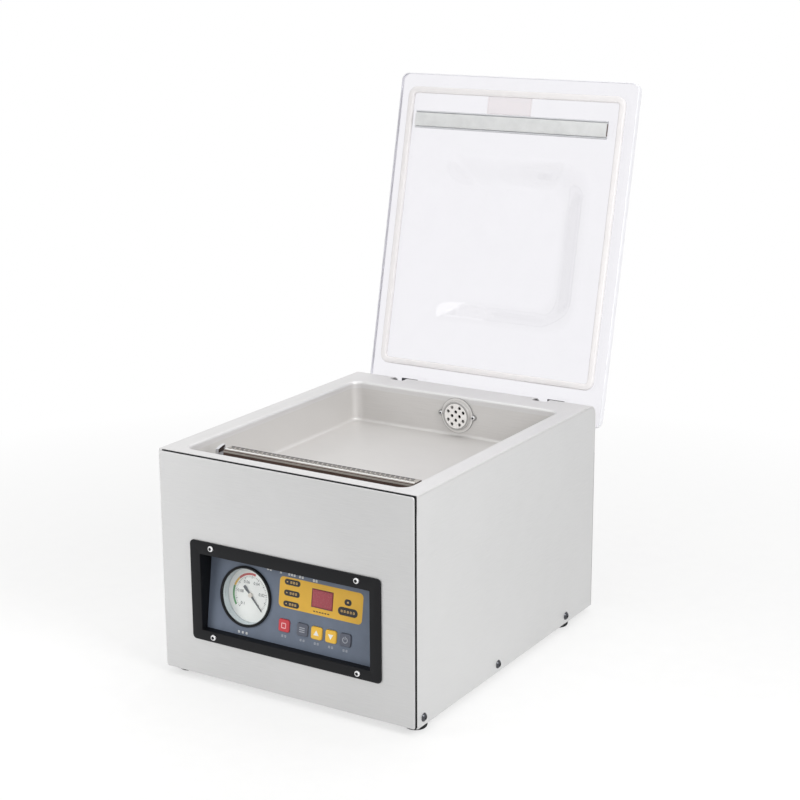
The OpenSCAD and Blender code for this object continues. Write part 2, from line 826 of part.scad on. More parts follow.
module base_plate() color(STEEL) {
    difference() {
        union() {
            translate([-base_w / 2, base_y0, z_base]) cube([base_w, base_y1 - base_y0, sheet_t]);
            both_sides() translate([base_w / 2 - sheet_t, base_y0, z_base])
                cube([sheet_t, side_back - base_y0, base_edge_h]);
            translate([-base_w / 2, base_y1 - sheet_t, z_base]) cube([base_w, sheet_t, base_edge_h]);
        }
        for (x = [-1, 1], y = [-1, 1]) translate([x * foot_x, y * foot_y, z_base - 1])
            cylinder(r = foot_hole_r, h = sheet_t + 2);
        both_sides() for (y = side_screw_ys)
            translate([base_w / 2 - sheet_t - 1, y, z_base + side_screw_z])
                rod_x(screw_r + screw_clear, sheet_t + 2);
        for (x = [-1, 0, 1]) translate([x * rear_screw_x, base_y1 - sheet_t - 1, rear_screw_low])
            rod_y(screw_r, sheet_t + 2);
        for (i = [0:9], j = [0:5]) translate([-72 + i * 16, pump_yc - 130 + j * 12, z_base - 1])
            cylinder(r = vent_r, h = sheet_t + 2);
    }
}

module dome_screws() color(BRIGHT)
    both_sides() for (y = side_screw_ys) translate([body_w / 2, y, z_base + side_screw_z])
        rotate([0, 90, 0]) domed_screw(7);

module bezel_screw_places() {
    for (x = [-1, 1], z = [bezel_screw_inset, bezel_h - bezel_screw_inset])
        translate([x * bezel_screw_x, y_front - bezel_t, z_base + bezel_z + z])
            rotate([90, 0, 0]) children();
}

module button_screws() color(BRIGHT) {
    bezel_screw_places() button_screw(bezel_t + front_t + 2);
    for (a = port_screw_angles)
        translate([port_x + port_screw_r * cos(a), port_y - port_t, port_z + port_screw_r * sin(a)])
            rotate([90, 0, 0]) button_screw(port_t + deck_t + 1);
    for (x = [-1, 0, 1], z = [rear_screw_low, rear_screw_top])
        translate([x * rear_screw_x, y_back, z]) rotate([-90, 0, 0]) button_screw(4);
    for (s = [-1, 1]) translate([inlet_x + s * inlet_screw, y_back + inlet_flange, inlet_z])
        rotate([-90, 0, 0]) button_screw(inlet_flange + 3);
}

module foot() {
    neck = foot_hole_r - fit_clear;
    difference() {
        union() {
            cylinder(r1 = foot_r - 1, r2 = foot_r, h = foot_h);
            cylinder(r = neck, h = foot_h + sheet_t + 1);
            translate([0, 0, foot_h + sheet_t + 0.1]) cylinder(r = foot_hole_r + 2, h = 2.4);
        }
        translate([0, 0, -1]) cylinder(r = foot_bore_r, h = foot_h + sheet_t + 5);
    }
}

module feet() color(BLACK)
    for (x = [-1, 1], y = [-1, 1]) translate([x * foot_x, y * foot_y, 0]) foot();

// ---- chamber ----

module port_cap() color(BRIGHT)
    translate([port_x, port_y, port_z]) rotate([90, 0, 0]) difference() {
        union() {
            cylinder(r = port_r, h = port_t);
            cylinder(r1 = port_disc_r + 1, r2 = port_disc_r, h = port_disc_h);
            for (a = port_screw_angles) rotate(a) translate([port_screw_r, 0, 0])
                cylinder(r = button_head_r + 0.5, h = port_t);
        }
        translate([0, 0, -EPS])
            cylinder(r1 = port_disc_r - port_t + 1, r2 = port_disc_r - port_t, h = port_disc_h - port_t);
        for (row = [-2:2]) {
            n = abs(row) == 1 ? 3 : 2;
            for (k = [0:n - 1])
                translate([(k - (n - 1) / 2) * port_pitch, row * port_row, 0])
                    cylinder(r = port_hole_r, h = port_disc_h + 1);
        }
        for (a = port_screw_angles) rotate(a) translate([port_screw_r, 0, -1])
            cylinder(r = screw_r, h = port_t + 2);
    }

module port_elbow() color(CAST) {
    y0 = port_y + deck_t;
    difference() {
        union() {
            translate([port_x, y0, port_z]) rod_y(port_wall_r + 5, 3);
            translate([port_x, y0 - deck_t, port_z]) rod_y(port_wall_r - fit_clear, deck_t + 1);
            translate([port_x, y0, port_z]) rod_y(pipe_r, pipe_back + pipe_r);
            translate([port_x, y0 + pipe_back, port_z - elbow_drop])
                cylinder(r = pipe_r, h = elbow_drop + pipe_r);
        }
        translate([port_x, y0 - deck_t - 1, port_z]) rod_y(pipe_bore_r, pipe_back + deck_t + 1);
        translate([port_x, y0 + pipe_back, port_z - elbow_drop - 1])
            cylinder(r = pipe_bore_r, h = elbow_drop + 1);
    }
}

strip_z = bar_top - tape_t;
insulator_z = strip_z - heater_t;
bar_in = bar_w - 2 * tape_t;

module seal_bar() color(STEEL)
    translate([bar_x, bar_yc, bar_under]) difference() {
        centred_box(bar_l, bar_in, insulator_z - bar_under - 2);
        translate([0, 0, insulator_z - bar_under - insulator_t])
            centred_box(bar_l + 2, bar_in - 4, insulator_t);
        translate([0, 0, 4]) centred_box(bar_l + 2, bar_in - 8, 4);
    }

module bar_insulator() color(BROWN)
    translate([bar_x, bar_yc, insulator_z - insulator_t]) {
        centred_box(bar_l, bar_in - 4, insulator_t);
        translate([0, 0, insulator_t - 2]) centred_box(bar_l, bar_in, 2);
    }

module heating_strip() color(BRIGHT)
    translate([bar_x, bar_yc, insulator_z]) centred_box(bar_l, heater_w, heater_t);

post_gap = 5;
post_w = 4;
post_over = 2.6;

module terminal_post() color(BRIGHT) {
    // the fixed post beside the bar that carries the strip's terminal
    x = bar_x0 - post_gap - post_w;
    y = bar_yc - bar_in / 2;
    translate([x, 0, 0]) rotate([90, 0, 90]) linear_extrude(post_w) polygon([
        [y, ch_floor], [y, bar_top - 8], [y - 3, bar_top - 6], [y - 2, bar_top],
        [bar_yc - 1, bar_top + post_over], [bar_yc + 3, bar_top + post_over], [bar_yc + 3, ch_floor]
    ]);
    translate([x - 8, bar_yc - 6, ch_floor]) cube([8 + EPS, 12, 5]);
}

module bar_tape() color(BROWN)
    translate([bar_x, bar_yc, bar_top - insulator_t - 4]) difference() {
        centred_box(bar_l, bar_w, insulator_t + 4);
        translate([0, 0, -1]) centred_box(bar_l + 2, bar_in, insulator_t + 5 - tape_t);
    }

module lift_cylinders() color(CAST)
    for (x = piston_xs) translate([x, bar_yc, ch_floor]) difference() {
        union() {
            cylinder(r = cylinder_r, h = cylinder_h);
            translate([0, 0, -spigot_l]) cylinder(r = spigot_r, h = spigot_l + 1);
        }
        translate([0, 0, cylinder_wall]) cylinder(r = bore_r, h = cylinder_h - 2 * cylinder_wall);
        translate([0, 0, cylinder_h - cylinder_wall - 1])
            cylinder(r = rod_r + run_clear, h = cylinder_wall + 2);
        translate([0, 0, -spigot_l - 1]) cylinder(r = 1.5, h = spigot_l + cylinder_wall + 2);
    }

module lift_pistons() color(BRIGHT)
    for (x = piston_xs) translate([x, bar_yc, head_z]) {
        cylinder(r = bore_r - run_clear, h = piston_t);
        cylinder(r = rod_r, h = bar_under - head_z);
    }

spring_r = (rod_r + bore_r) / 2;

module piston_springs() color(CAST)
    for (x = piston_xs) translate([x, bar_yc, head_z + piston_t]) {
        z0 = spring_wire + 0.1;
        z1 = cap_z - head_z - piston_t - spring_wire - 0.1;
        steps = 16 * spring_turns;
        path = [for (i = [0:steps]) let (a = 360 * spring_turns * i / steps)
            [spring_r * cos(a), spring_r * sin(a), z0 + (z1 - z0) * i / steps]];
        sweep(path, spring_wire, [0, 0, 1]);
    }

// ---- lid ----

module gasket_ring(w, h) {
    linear_extrude(h) difference() {
        rounded_rect(gasket_span + w, gasket_l + w, gasket_r + w / 2);
        rounded_rect(gasket_span - w, gasket_l - w, gasket_r - w / 2);
    }
}

module lid_screw_places() {
    both_sides() for (s = [-1, 1])
        translate([arm_x + s * lid_screw_dx, pivot_y - lid_screw_front, lid_z]) children();
}

module lid_shell() color(CLEAR) lid_open() {
    cut_w = 2 * dome_t;
    difference() {
        union() {
            translate([0, lid_y, lid_z]) rounded_box(lid_w, lid_d, lid_t, lid_r);
            translate([0, dome_y, lid_z + lid_t])
                dome(dome_w, dome_d, dome_r, dome_top_w, dome_top_d, dome_top_r,
                    dome_top_back, dome_h, 1);
        }
        translate([0, dome_y, lid_z])
            dome(dome_w - cut_w, dome_d - cut_w, dome_r - dome_t,
                dome_top_w - cut_w / 2, dome_top_d - cut_w / 2, dome_top_r - dome_t / 2,
                dome_top_back, dome_h + lid_t - dome_t, 1);
        translate([0, ch_y, lid_z - 1]) gasket_ring(gasket_w + 0.4, groove_h + 1);
        lid_screw_places() translate([0, 0, -1]) cylinder(r = lid_screw_r + fit_clear, h = lid_t + 2);
    }
}

module lid_gasket() color("#d9d4c4") lid_open()
    translate([0, ch_y, z_deck + gasket_clear])
        gasket_ring(gasket_w, lid_gap - gasket_clear + groove_h - 0.2);

module pad_channel() color(STEEL) lid_open()
    translate([pad_x, pad_yc, lid_z - pad_channel_h]) difference() {
        centred_box(pad_l, pad_w, pad_channel_h);
        translate([0, 0, -1]) centred_box(pad_l + 2, pad_strip_w, pad_channel_h - pad_web + 1);
    }

module lid_pad() color("#c4c6c8") lid_open()
    translate([pad_x, pad_yc, lid_z - pad_h]) centred_box(pad_l, pad_strip_w, pad_h - pad_web);

module hinge_arms() color(GREY) lid_open() both_sides() {
    difference() {
        union() {
            translate([arm_x - arm_w / 2, pivot_y, pivot_z]) rod_x(eye_r, arm_w);
            translate([arm_x - arm_w / 2, pivot_y - arm_lower, pivot_z])
                cube([arm_w, arm_d, pivot_drop + lid_gap - leaf_t + EPS]);
            translate([leaf_x0, pivot_y - leaf_front, lid_z - leaf_t])
                cube([leaf_w, leaf_front + leaf_back, leaf_t]);
        }
        translate([arm_x - arm_w, pivot_y, pivot_z]) rod_x(pin_r + pin_clear, 2 * arm_w);
        for (s = [-1, 1])
            translate([arm_x + s * lid_screw_dx, pivot_y - lid_screw_front, lid_z - leaf_t - 1])
                cylinder(r = lid_screw_r + 0.1, h = leaf_t + 2);
    }
}

module lid_screws() color(BRIGHT) lid_open() lid_screw_places() {
    translate([0, 0, -leaf_t]) cylinder(r = lid_screw_r, h = leaf_t + lid_t + 1);
    translate([0, 0, lid_t]) difference() {
        cylinder(r = lid_head_r, h = lid_head_h);
        translate([0, 0, 1]) cylinder(r = 1.8, h = lid_head_h, $fn = 6);
    }
}

// ---- hinge carriers ----

module hinge_brackets() color(STEEL) both_sides() {
    top = z_deck - deck_t;
    x1 = ear_xs[2] + ear_t;
    translate([ear_xs[0], pivot_y - bracket_front, top - bracket_t])
        cube([x1 - ear_xs[0], bracket_front - bracket_back, bracket_t]);
    for (x = ear_xs) difference() {
        translate([x, 0, 0]) rotate([90, 0, 90]) linear_extrude(ear_t) {
            polygon([
                [pivot_y - bracket_front, top - bracket_t + EPS],
                [pivot_y - bracket_back, top - bracket_t + EPS],
                [pivot_y, pivot_z + eye_r], [pivot_y, pivot_z - eye_r]
            ]);
            translate([pivot_y, pivot_z]) circle(eye_r);
        }
        translate([x - 1, pivot_y, pivot_z]) rod_x(pin_r + 0.1, ear_t + 2);
    }
}

module hinge_pins() color(BRIGHT) both_sides() {
    translate([ear_xs[0] - 2, pivot_y, pivot_z]) rod_x(pin_r, ear_xs[2] + ear_t + 4 - ear_xs[0]);
    translate([ear_xs[0] - 4, pivot_y, pivot_z]) rod_x(pin_r + 2, 4 - seam);
    translate([ear_xs[2] + ear_t + seam, pivot_y, pivot_z]) rod_x(pin_r + 2, 2);
}

module hinge_springs() color(CAST) both_sides() {
    // a coil round the pin, with one leg up to the bracket
    steps = 16 * coil_turns;
    l = coil_l - 2 * wire_r - seam;
    leg = pivot_drop - deck_t - bracket_t - seam;
    coil = [for (i = [0:steps]) let (a = 360 * coil_turns * i / steps)
        [coil_x0 + l * i / steps, -coil_r * cos(a), coil_r * sin(a) * -1]];
    path = concat([[coil_x0, -coil_r, leg], [coil_x0, -coil_r, 3]], coil);
    translate([0, pivot_y, pivot_z]) sweep(path, wire_r, [1, 0, 0]);
}

sensor_x = 118;

module lid_sensor() color(BLACK) {
    // sealed reed switch under the deck, worked by the hinge arm
    top = z_deck - deck_t;
    translate([sensor_x, pivot_y - 32, top - 12]) cube([8, 24, 12]);
    translate([sensor_x + 2, pivot_y - 32 - 3, top - 8]) cube([4, 3 + EPS, 3]);
}

// ---- control panel ----

module panel_bezel() color(BLACK) {
    difference() {
        union() {
            translate([0, y_front, bezel_zc]) rotate([90, 0, 0])
                rounded_box(bezel_w, bezel_h, bezel_t, bezel_r);
            translate([0, y_front + tunnel_d, window_zc]) rotate([90, 0, 0])
                linear_extrude(tunnel_d + 1)
                    square([window_w + 2 * tunnel_t, window_h + 2 * tunnel_t], center = true);
        }
        translate([0, y_front + tunnel_d + 1, window_zc]) rotate([90, 0, 0])
            linear_extrude(tunnel_d + bezel_t + 2) square([window_w, window_h], center = true);
        bezel_screw_places() translate([0, 0, -bezel_t - 1]) cylinder(r = screw_r, h = bezel_t + 2);
    }
    both_sides() on_plate(window_w / 2 - rail_w, 3, -plate_t - rail_t)
        cube([rail_w + EPS, plate_h - 8, rail_t]);
}

module control_plate() color(SLATE) on_plate() {
    difference() {
        translate([-plate_w / 2, 0, -plate_t]) cube([plate_w, plate_h, plate_t]);
        translate([gauge_x, gauge_v, -plate_t - 1]) cylinder(r = case_r + fit_clear, h = plate_t + 2);
        for (x = key_xs) translate([x, key_v, -plate_t - 1])
            rounded_box(key_s + 2 * fit_clear, key_s + 2 * fit_clear, plate_t + 2, key_r + fit_clear);
        translate([display_x, display_v, -plate_t - 1])
            centred_box(display_w + 2 * fit_clear, display_h + 2 * fit_clear, plate_t + 2);
    }
    for (x = [board_x0 + 5, board_x1 - 5], v = [board_v0 + 5, board_v1 - 5])
        translate([x, v, board_w]) cylinder(r = post_r, h = -board_w - plate_t + EPS);
}

module display_window() color(RED) on_plate(display_x, display_v, board_w + 4) {
    translate([0, 0, 4]) centred_box(display_w, display_h, display_stand - board_w - 8);
    centred_box(display_w - 4, display_h - 4, 4 + EPS);
}

module gauge_case() color(BRIGHT) on_plate(gauge_x, gauge_v) {
    difference() {
        translate([0, 0, -case_d]) cylinder(r = case_r, h = case_d);
        translate([0, 0, -case_d + case_t]) cylinder(r = case_r - case_t, h = case_d);
        translate([0, 0, -case_d - 1]) cylinder(r = 3, h = 4);
    }
    translate([0, 0, -case_d - 12]) difference() {
        cylinder(r = 5, h = 12 + EPS);
        translate([0, 0, -1]) cylinder(r = 3, h = 14);
    }
    // the movement that carries the needle's spindle
    translate([0, 0, -case_d + case_t - EPS]) difference() {
        cylinder(r = 8, h = 10);
        translate([0, 0, 2]) cylinder(r = 1 + run_clear, h = 10);
    }
}

module gauge_ring() color(BLACK) on_plate(gauge_x, gauge_v) difference() {
    cylinder(r = gauge_r, h = gauge_ring_h);
    translate([0, 0, -1]) cylinder(r = gauge_r - gauge_ring_w, h = gauge_ring_h + 2);
    translate([0, 0, -EPS]) cylinder(r = lens_r + 0.15, h = gauge_ring_h - 0.8);
}

module gauge_dial() color("white") on_plate(gauge_x, gauge_v, dial_w - dial_t) difference() {
    cylinder(r = case_r - case_t - 0.1, h = dial_t);
    translate([0, 0, -1]) cylinder(r = 2, h = dial_t + 2);
}

module gauge_needle() color(BLACK) on_plate(gauge_x, gauge_v, dial_w) {
    translate([0, 0, 0.8]) rotate(needle_angle) linear_extrude(0.6)
        polygon([[-needle_tail, -1.4], [-needle_tail, 1.4], [0, 1], [needle_l, 0.2],
            [needle_l, -0.2], [0, -1]]);
    translate([0, 0, 0.8]) cylinder(r = 2.6, h = 1.6);
    translate([0, 0, -dial_w - case_d + case_t + 3]) cylinder(r = 1, h = dial_w + case_d - case_t - 2);
}

module gauge_lens() color(CLEAR) on_plate(gauge_x, gauge_v, 0)
    cylinder(r = lens_r, h = gauge_ring_h - 1.2);

module key(i, tint) color(tint) on_plate(key_xs[i], key_v) {
    translate([0, 0, -plate_t - fit_clear]) rounded_box(key_s, key_s, plate_t + fit_clear + key_h, key_r);
    translate([0, 0, -plate_t - fit_clear - key_flange])
        rounded_box(key_s + 2 * key_lip, key_s + 2 * key_lip, key_flange + EPS, key_r);
    translate([0, 0, stem_end]) cylinder(r = stem_r, h = -stem_end - plate_t - fit_clear);
}

module stop_key() key(0, RED);
module mode_key() key(1, GREY);
module up_key() key(2, YELLOW);
module down_key() key(3, YELLOW);
module start_key() key(4, GREY);

module control_board() color("#2f6b3c") on_plate() {
    translate([board_x0, board_v0, board_w - board_t])
        cube([board_x1 - board_x0, board_v1 - board_v0, board_t]);
    for (x = key_xs) translate([x, key_v, board_w - EPS]) {
        centred_box(6, 6, 3);
        cylinder(r = 1.75, h = switch_top - board_w);
    }
    translate([board_x0 + 20, board_v1 - 20, board_w - board_t - 14]) cube([30, 14, 14 + EPS]);
}

// ---- vacuum pump ----

inlet_stub_x = pump_x + pump_l - 16;
inlet_stub_h = 14;

module pump_body() color(CAST) difference() {
    union() {
        translate([pump_x, pump_yc - pump_d / 2, pump_z]) cube([pump_l, pump_d, pump_h]);
        translate([pump_x - 3, pump_yc, axis_z]) rod_x(30, 4);
        translate([pump_x + pump_l - 1, pump_yc, axis_z]) rod_x(26, 4);
        translate([inlet_stub_x, pump_yc, pump_z + pump_h - 1])
            cylinder(r = pipe_r, h = inlet_stub_h + 1);
        for (i = [0:4]) translate([pump_x + 8 + i * 18, pump_yc - pump_d / 2 - 4, pump_z + 10])
            cube([4, pump_d + 8, pump_h - 20]);
    }
    translate([pump_x + 8, pump_yc, axis_z]) rod_x(shaft_r + run_clear, pump_l);
    translate([inlet_stub_x, pump_yc, pump_z + pump_h - 10])
        cylinder(r = pipe_bore_r, h = inlet_stub_h + 12);
}

module pump_filter() color(GREY) {
    translate([pump_x + 2, pump_yc - pump_d / 2 + 6, pump_z + pump_h])
        cube([pump_l - 32, pump_d - 12, filter_h - 6]);
    translate([pump_x + 12, pump_yc - pump_d / 2 + 16, pump_z + pump_h + filter_h - 6 - EPS])
        cube([pump_l - 52, pump_d - 32, 6]);
}

unit_x0 = pump_x + 4;
unit_x1 = motor_x1 - 6;

module pump_plate() color(STEEL) {
    translate([unit_x0, pump_yc - pump_d / 2 + 4, plate_z])
        cube([unit_x1 - unit_x0, pump_d - 8, pump_plate_t]);
    // the cradle under the motor
    for (x = [motor_x + 20, motor_x1 - 30]) difference() {
        translate([x, pump_yc - 36, pump_z - EPS]) cube([10, 72, 28]);
        translate([x - 1, pump_yc, axis_z]) rod_x(motor_r + 0.1, 12);
    }
}

module pump_mounts() color(BLACK)
    for (x = [unit_x0 + mount_dx, unit_x1 - mount_dx], y = [-mount_dy, mount_dy])
        translate([x, pump_yc + y, z_floor]) cylinder(r = mount_r, h = mount_h);

module motor_housing() color(CAST) translate([motor_x, pump_yc, axis_z]) difference() {
    union() {
        rod_x(motor_r - 4, motor_l);
        for (x = [0, motor_l - 14]) translate([x, 0, 0]) rod_x(motor_r, 14);
        for (x = [20, motor_l - 30]) translate([x, 0, 0]) rod_x(motor_r, 10);
        // cooling ribs stand clear of the cradle's two bands
        for (a = [45:15:315]) rotate([a + 90, 0, 0])
            translate([6, -1, motor_r - 6]) cube([motor_l - 12, 2, 5.6]);
    }
    translate([end_t, 0, 0]) rod_x(motor_r - housing_t - 4, motor_l - 2 * end_t);
    translate([-1, 0, 0]) rod_x(shaft_r + run_clear, motor_l + 2);
}

module motor_stator() color("#a5622d") translate([motor_x + 24, pump_yc, axis_z]) difference() {
    rod_x(motor_r - housing_t - 4.1, motor_l - 48);
    translate([-1, 0, 0]) rod_x(core_r + stator_gap, motor_l);
}

module rotor_shaft() color(BRIGHT) {
    translate([pump_x + 8 + run_clear, pump_yc, axis_z])
        rod_x(shaft_r, fan_x + fan_t + 3 - pump_x - 8 - run_clear);
    translate([motor_x + 24, pump_yc, axis_z]) rod_x(core_r, motor_l - 48);
}

module cooling_fan() color(BLACK) translate([fan_x, pump_yc, axis_z]) {
    difference() {
        union() {
            rod_x(16, fan_t);
            for (a = [0:45:315]) rotate([a, 0, 0]) translate([1, -1, 12])
                rotate([0, 0, 20]) cube([fan_t - 3, 2, fan_r - 12]);
        }
        translate([-1, 0, 0]) rod_x(shaft_r + 0.05, fan_t + 2);
    }
}

module fan_cover() color(GREY) translate([motor_x1, pump_yc, axis_z]) difference() {
    rod_x(motor_r, cover_l + 4);
    translate([-1, 0, 0]) rod_x(motor_r - 1.5, cover_l + 3.5);
    for (a = [0:30:330]) rotate([a, 0, 0]) translate([cover_l, -3, 16]) cube([8, 6, 28]);
}

hose_push = 4;
hose_top = port_z - elbow_drop - hose_push;
hose_end = pump_z + pump_h + inlet_stub_h + hose_push;
hose_path = [
    [port_x, port_y + deck_t + pipe_back, hose_top],
    [port_x, port_y + deck_t + pipe_back, hose_top - 8],
    [port_x - 14, port_y + 10, hose_top - 26],
    [inlet_stub_x + 12, pump_yc + 26, (ch_floor - deck_t + hose_end) / 2],
    [inlet_stub_x, pump_yc, hose_end + 14],
    [inlet_stub_x, pump_yc, hose_end]
];

module vacuum_hose() color(BLACK) {
    // straight where it is pushed on at each end
    ends = [hose_path[0] + [0, 0, hose_push], hose_path[len(hose_path) - 1] - [0, 0, hose_push]];
    sweep(concat([ends[0]], spline(hose_path, 6), [ends[1]]), pipe_r, [1, -0.2, 0.1], 12);
}

valve_side = 73;
valve_x = body_w / 2 - valve_side;
valve_y = y_front + 80;

module valve_block() color(CAST) {
    translate([valve_x, valve_y, z_floor]) {
        cube([60, 30, 26]);
        for (x = [15, 45]) translate([x, 15, 26 - EPS]) {
            cylinder(r = 13, h = 34);
            translate([0, 0, 34 - EPS]) cylinder(r = 4, h = 5);
        }
        for (x = [15, 45]) translate([x, -8, 13]) rod_y(spigot_r, 8 + EPS);
    }
}

transformer_side = 25;

module transformer() color(GREY) {
    translate([transformer_side - body_w / 2, y_front + 60, z_floor]) {
        cube([86, 70, 3]);
        translate([6, 6, 3 - EPS]) cube([74, 58, 62]);
        translate([14, -4, 14]) cube([58, 78, 38]);
    }
}

module capacitor() color("#3a5f8f") {
    translate([-20, y_front + 90, z_floor + 20]) {
        rod_x(18, 78);
        translate([78 - EPS, 0, 0]) rod_x(12, 8);
        for (x = [14, 54]) translate([x, -12, -20]) cube([8, 24, 10]);
    }
}

inlet_flange = 3;

module power_inlet() color(BLACK)
    translate([inlet_x, y_back, inlet_z]) rotate([90, 0, 0]) difference() {
        union() {
            translate([0, 0, -inlet_flange]) rounded_box(50, 24, inlet_flange, 4);
            translate([0, 0, -1]) rounded_box(inlet_w, inlet_h, 24, 2);
            for (x = [-7, 0, 7]) translate([x, 0, 22]) centred_box(1, 6, 9);
        }
        translate([0, 0, -inlet_flange - 1]) linear_extrude(17) difference() {
            rounded_rect(24, 16.4, 3);
            for (x = [-7, 0, 7]) translate([x, x == 0 ? 2 : -1]) square([2, 4], center = true);
        }
        for (s = [-1, 1]) translate([s * inlet_screw, 0, -inlet_flange - 1])
            cylinder(r = screw_r, h = inlet_flange + 2);
    }

module fuse_holder() color(BLACK) translate([fuse_x, y_back, inlet_z]) rotate([90, 0, 0]) {
    translate([0, 0, -8]) difference() {
        cylinder(r = 8, h = 8);
        translate([0, 0, -1]) centred_box(9, 1.4, 3);
    }
    translate([0, 0, -EPS]) cylinder(r = fuse_r, h = 30);
}

top_deck();
chamber_pan();
front_panel();
front_frame();
left_side_panel();
right_side_panel();
rear_panel();
base_plate();
dome_screws();
button_screws();
feet();
port_cap();
port_elbow();
seal_bar();
bar_insulator();
heating_strip();
terminal_post();
bar_tape();
lift_cylinders();
lift_pistons();
piston_springs();
lid_shell();
lid_gasket();
pad_channel();
lid_pad();
hinge_arms();
lid_screws();
hinge_brackets();
hinge_pins();
hinge_springs();
lid_sensor();
panel_bezel();
control_plate();
display_window();
gauge_case();
gauge_ring();
gauge_dial();
gauge_needle();
gauge_lens();
stop_key();
mode_key();
up_key();
down_key();
start_key();
control_board();
pump_body();
pump_filter();
pump_plate();
pump_mounts();
motor_housing();
motor_stator();
rotor_shaft();
cooling_fan();
fan_cover();
vacuum_hose();
valve_block();
transformer();
capacitor();
power_inlet();
fuse_holder();
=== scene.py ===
"""Tabletop chamber vacuum sealer: its visible pieces, finishes, floor, lamps and camera.

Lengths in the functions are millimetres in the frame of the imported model, and turn to metres
where they enter a mesh.
"""

import json
from math import cos, radians, sin

import bpy
import numpy as np
from mathutils import Matrix, Vector


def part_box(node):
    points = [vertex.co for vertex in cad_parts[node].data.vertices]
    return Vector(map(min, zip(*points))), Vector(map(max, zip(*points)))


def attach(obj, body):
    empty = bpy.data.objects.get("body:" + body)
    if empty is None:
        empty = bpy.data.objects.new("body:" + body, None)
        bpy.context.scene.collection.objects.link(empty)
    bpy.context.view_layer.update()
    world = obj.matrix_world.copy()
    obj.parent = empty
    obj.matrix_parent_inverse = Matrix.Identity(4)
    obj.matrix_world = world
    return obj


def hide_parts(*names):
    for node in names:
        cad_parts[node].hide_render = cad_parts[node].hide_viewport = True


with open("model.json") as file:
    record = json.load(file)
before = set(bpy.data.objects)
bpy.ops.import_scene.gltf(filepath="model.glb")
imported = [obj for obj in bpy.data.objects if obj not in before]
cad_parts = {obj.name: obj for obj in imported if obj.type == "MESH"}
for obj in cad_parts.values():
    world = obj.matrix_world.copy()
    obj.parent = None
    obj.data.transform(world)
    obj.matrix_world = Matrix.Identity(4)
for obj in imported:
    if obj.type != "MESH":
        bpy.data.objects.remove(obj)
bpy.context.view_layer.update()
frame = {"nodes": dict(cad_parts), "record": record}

bl_info = {
    "name": "Chamber vacuum sealer",
    "version": (1, 0, 0),
    "blender": (4, 5, 0),
    "location": "View3D > Sidebar > Sealer",
    "description": "Builds the visible pieces of a tabletop chamber vacuum sealer",
    "category": "Add Mesh",
}

MM = 0.001
JOINTS = {j["name"]: j for j in frame["record"]["behaviour"]["joints"]}
HINGE_Y, HINGE_Z = (1000 * c for c in JOINTS["lid_hinge"]["pos_m"][1:])
LID_OPEN = JOINTS["lid_hinge"]["range_deg"][1]


def node_box(node):
    """Lowest and highest corner of a CAD part, in millimetres."""
    lo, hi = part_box(node)
    return np.array(lo) * 1000, np.array(hi) * 1000


# ---------------------------------------------------------------- colours

def linear(code):
    """Linear RGBA of an sRGB hex code: ((c + 0.055) / 1.055) ** 2.4, or c / 12.92 near black."""
    c = np.array([int(code[i:i + 2], 16) for i in (1, 3, 5)]) / 255
    return tuple(np.where(c > 0.04045, ((c + 0.055) / 1.055) ** 2.4, c / 12.92)) + (1.0,)


def colour(label, text, code):
    """A colour property with its sRGB default."""
    return bpy.props.FloatVectorProperty(
        name=label, description=text, subtype="COLOR", size=4, min=0, max=1, default=linear(code))


def length(label, text, mm):
    """A length property with its default in millimetres."""
    return bpy.props.FloatProperty(
        name=label, description=text, unit="LENGTH", subtype="DISTANCE", default=mm * MM)


# ---------------------------------------------------------------- surfaces

def outline(width, depth, radius, steps):
    """Rounded rectangle, counter-clockwise: four quarter circles of the radius about the points
    (+-(width/2 - radius), +-(depth/2 - radius)), joined by straight sides. The three sizes may be
    columns, which gives a ring for each row.
    """
    width, depth, radius = (np.asarray(a, float)[..., None] for a in (width, depth, radius))
    corner = np.repeat(np.arange(4), steps + 1)
    angle = np.tile(np.linspace(0, np.pi / 2, steps + 1), 4) + corner * np.pi / 2
    sx, sy = np.array([1, -1, -1, 1])[corner], np.array([1, 1, -1, -1])[corner]
    x = sx * (width / 2 - radius) + radius * np.cos(angle)
    y = sy * (depth / 2 - radius) + radius * np.sin(angle)
    return np.stack(np.broadcast_arrays(x, y), -1)


def rings(rows, steps):
    """Rounded-rectangle rings: each row gives width, depth, radius, height, x and y of centre."""
    rows = np.asarray([tuple(r) + (0,) * (6 - len(r)) for r in rows], float)
    flat = outline(rows[:, 0], rows[:, 1], rows[:, 2], steps) + rows[:, None, 4:6]
    height = np.broadcast_to(rows[:, 3, None, None], flat.shape[:2] + (1,))
    return np.concatenate([flat, height], -1)


def circles(profile, steps):
    """Rings of a turned shape: each row (radius, height) of the profile becomes
    (r cos t, r sin t, h) for t round a turn.
    """
    r, h = np.asarray(profile, float).T[:, :, None]
    t = np.arange(steps) * 2 * np.pi / steps
    return np.stack(np.broadcast_arrays(r * np.cos(t), r * np.sin(t), h + 0 * t), -1)


def skin(grid, wrap=False):
    """Quads over a grid of rings: face (i, j) joins points j and j + 1 of rings i and i + 1.
    The first and last rings are capped, or joined to each other where wrap is set.
    """
    r, n = grid.shape[:2]
    i, j = np.meshgrid(np.arange(r if wrap else r - 1), np.arange(n), indexing="ij")
    k, m = (j + 1) % n, (i + 1) % r
    faces = np.stack([i * n + j, i * n + k, m * n + k, m * n + j], -1).reshape(-1, 4).tolist()
    if not wrap:
        faces += [list(range(n))[::-1], [(r - 1) * n + a for a in range(n)]]
    return grid.reshape(-1, 3), faces


def turned(profile, steps, wrap=False):
    """The skin of circles(profile), wrapped where the profile is a closed section."""
    return skin(circles(profile, steps), wrap)


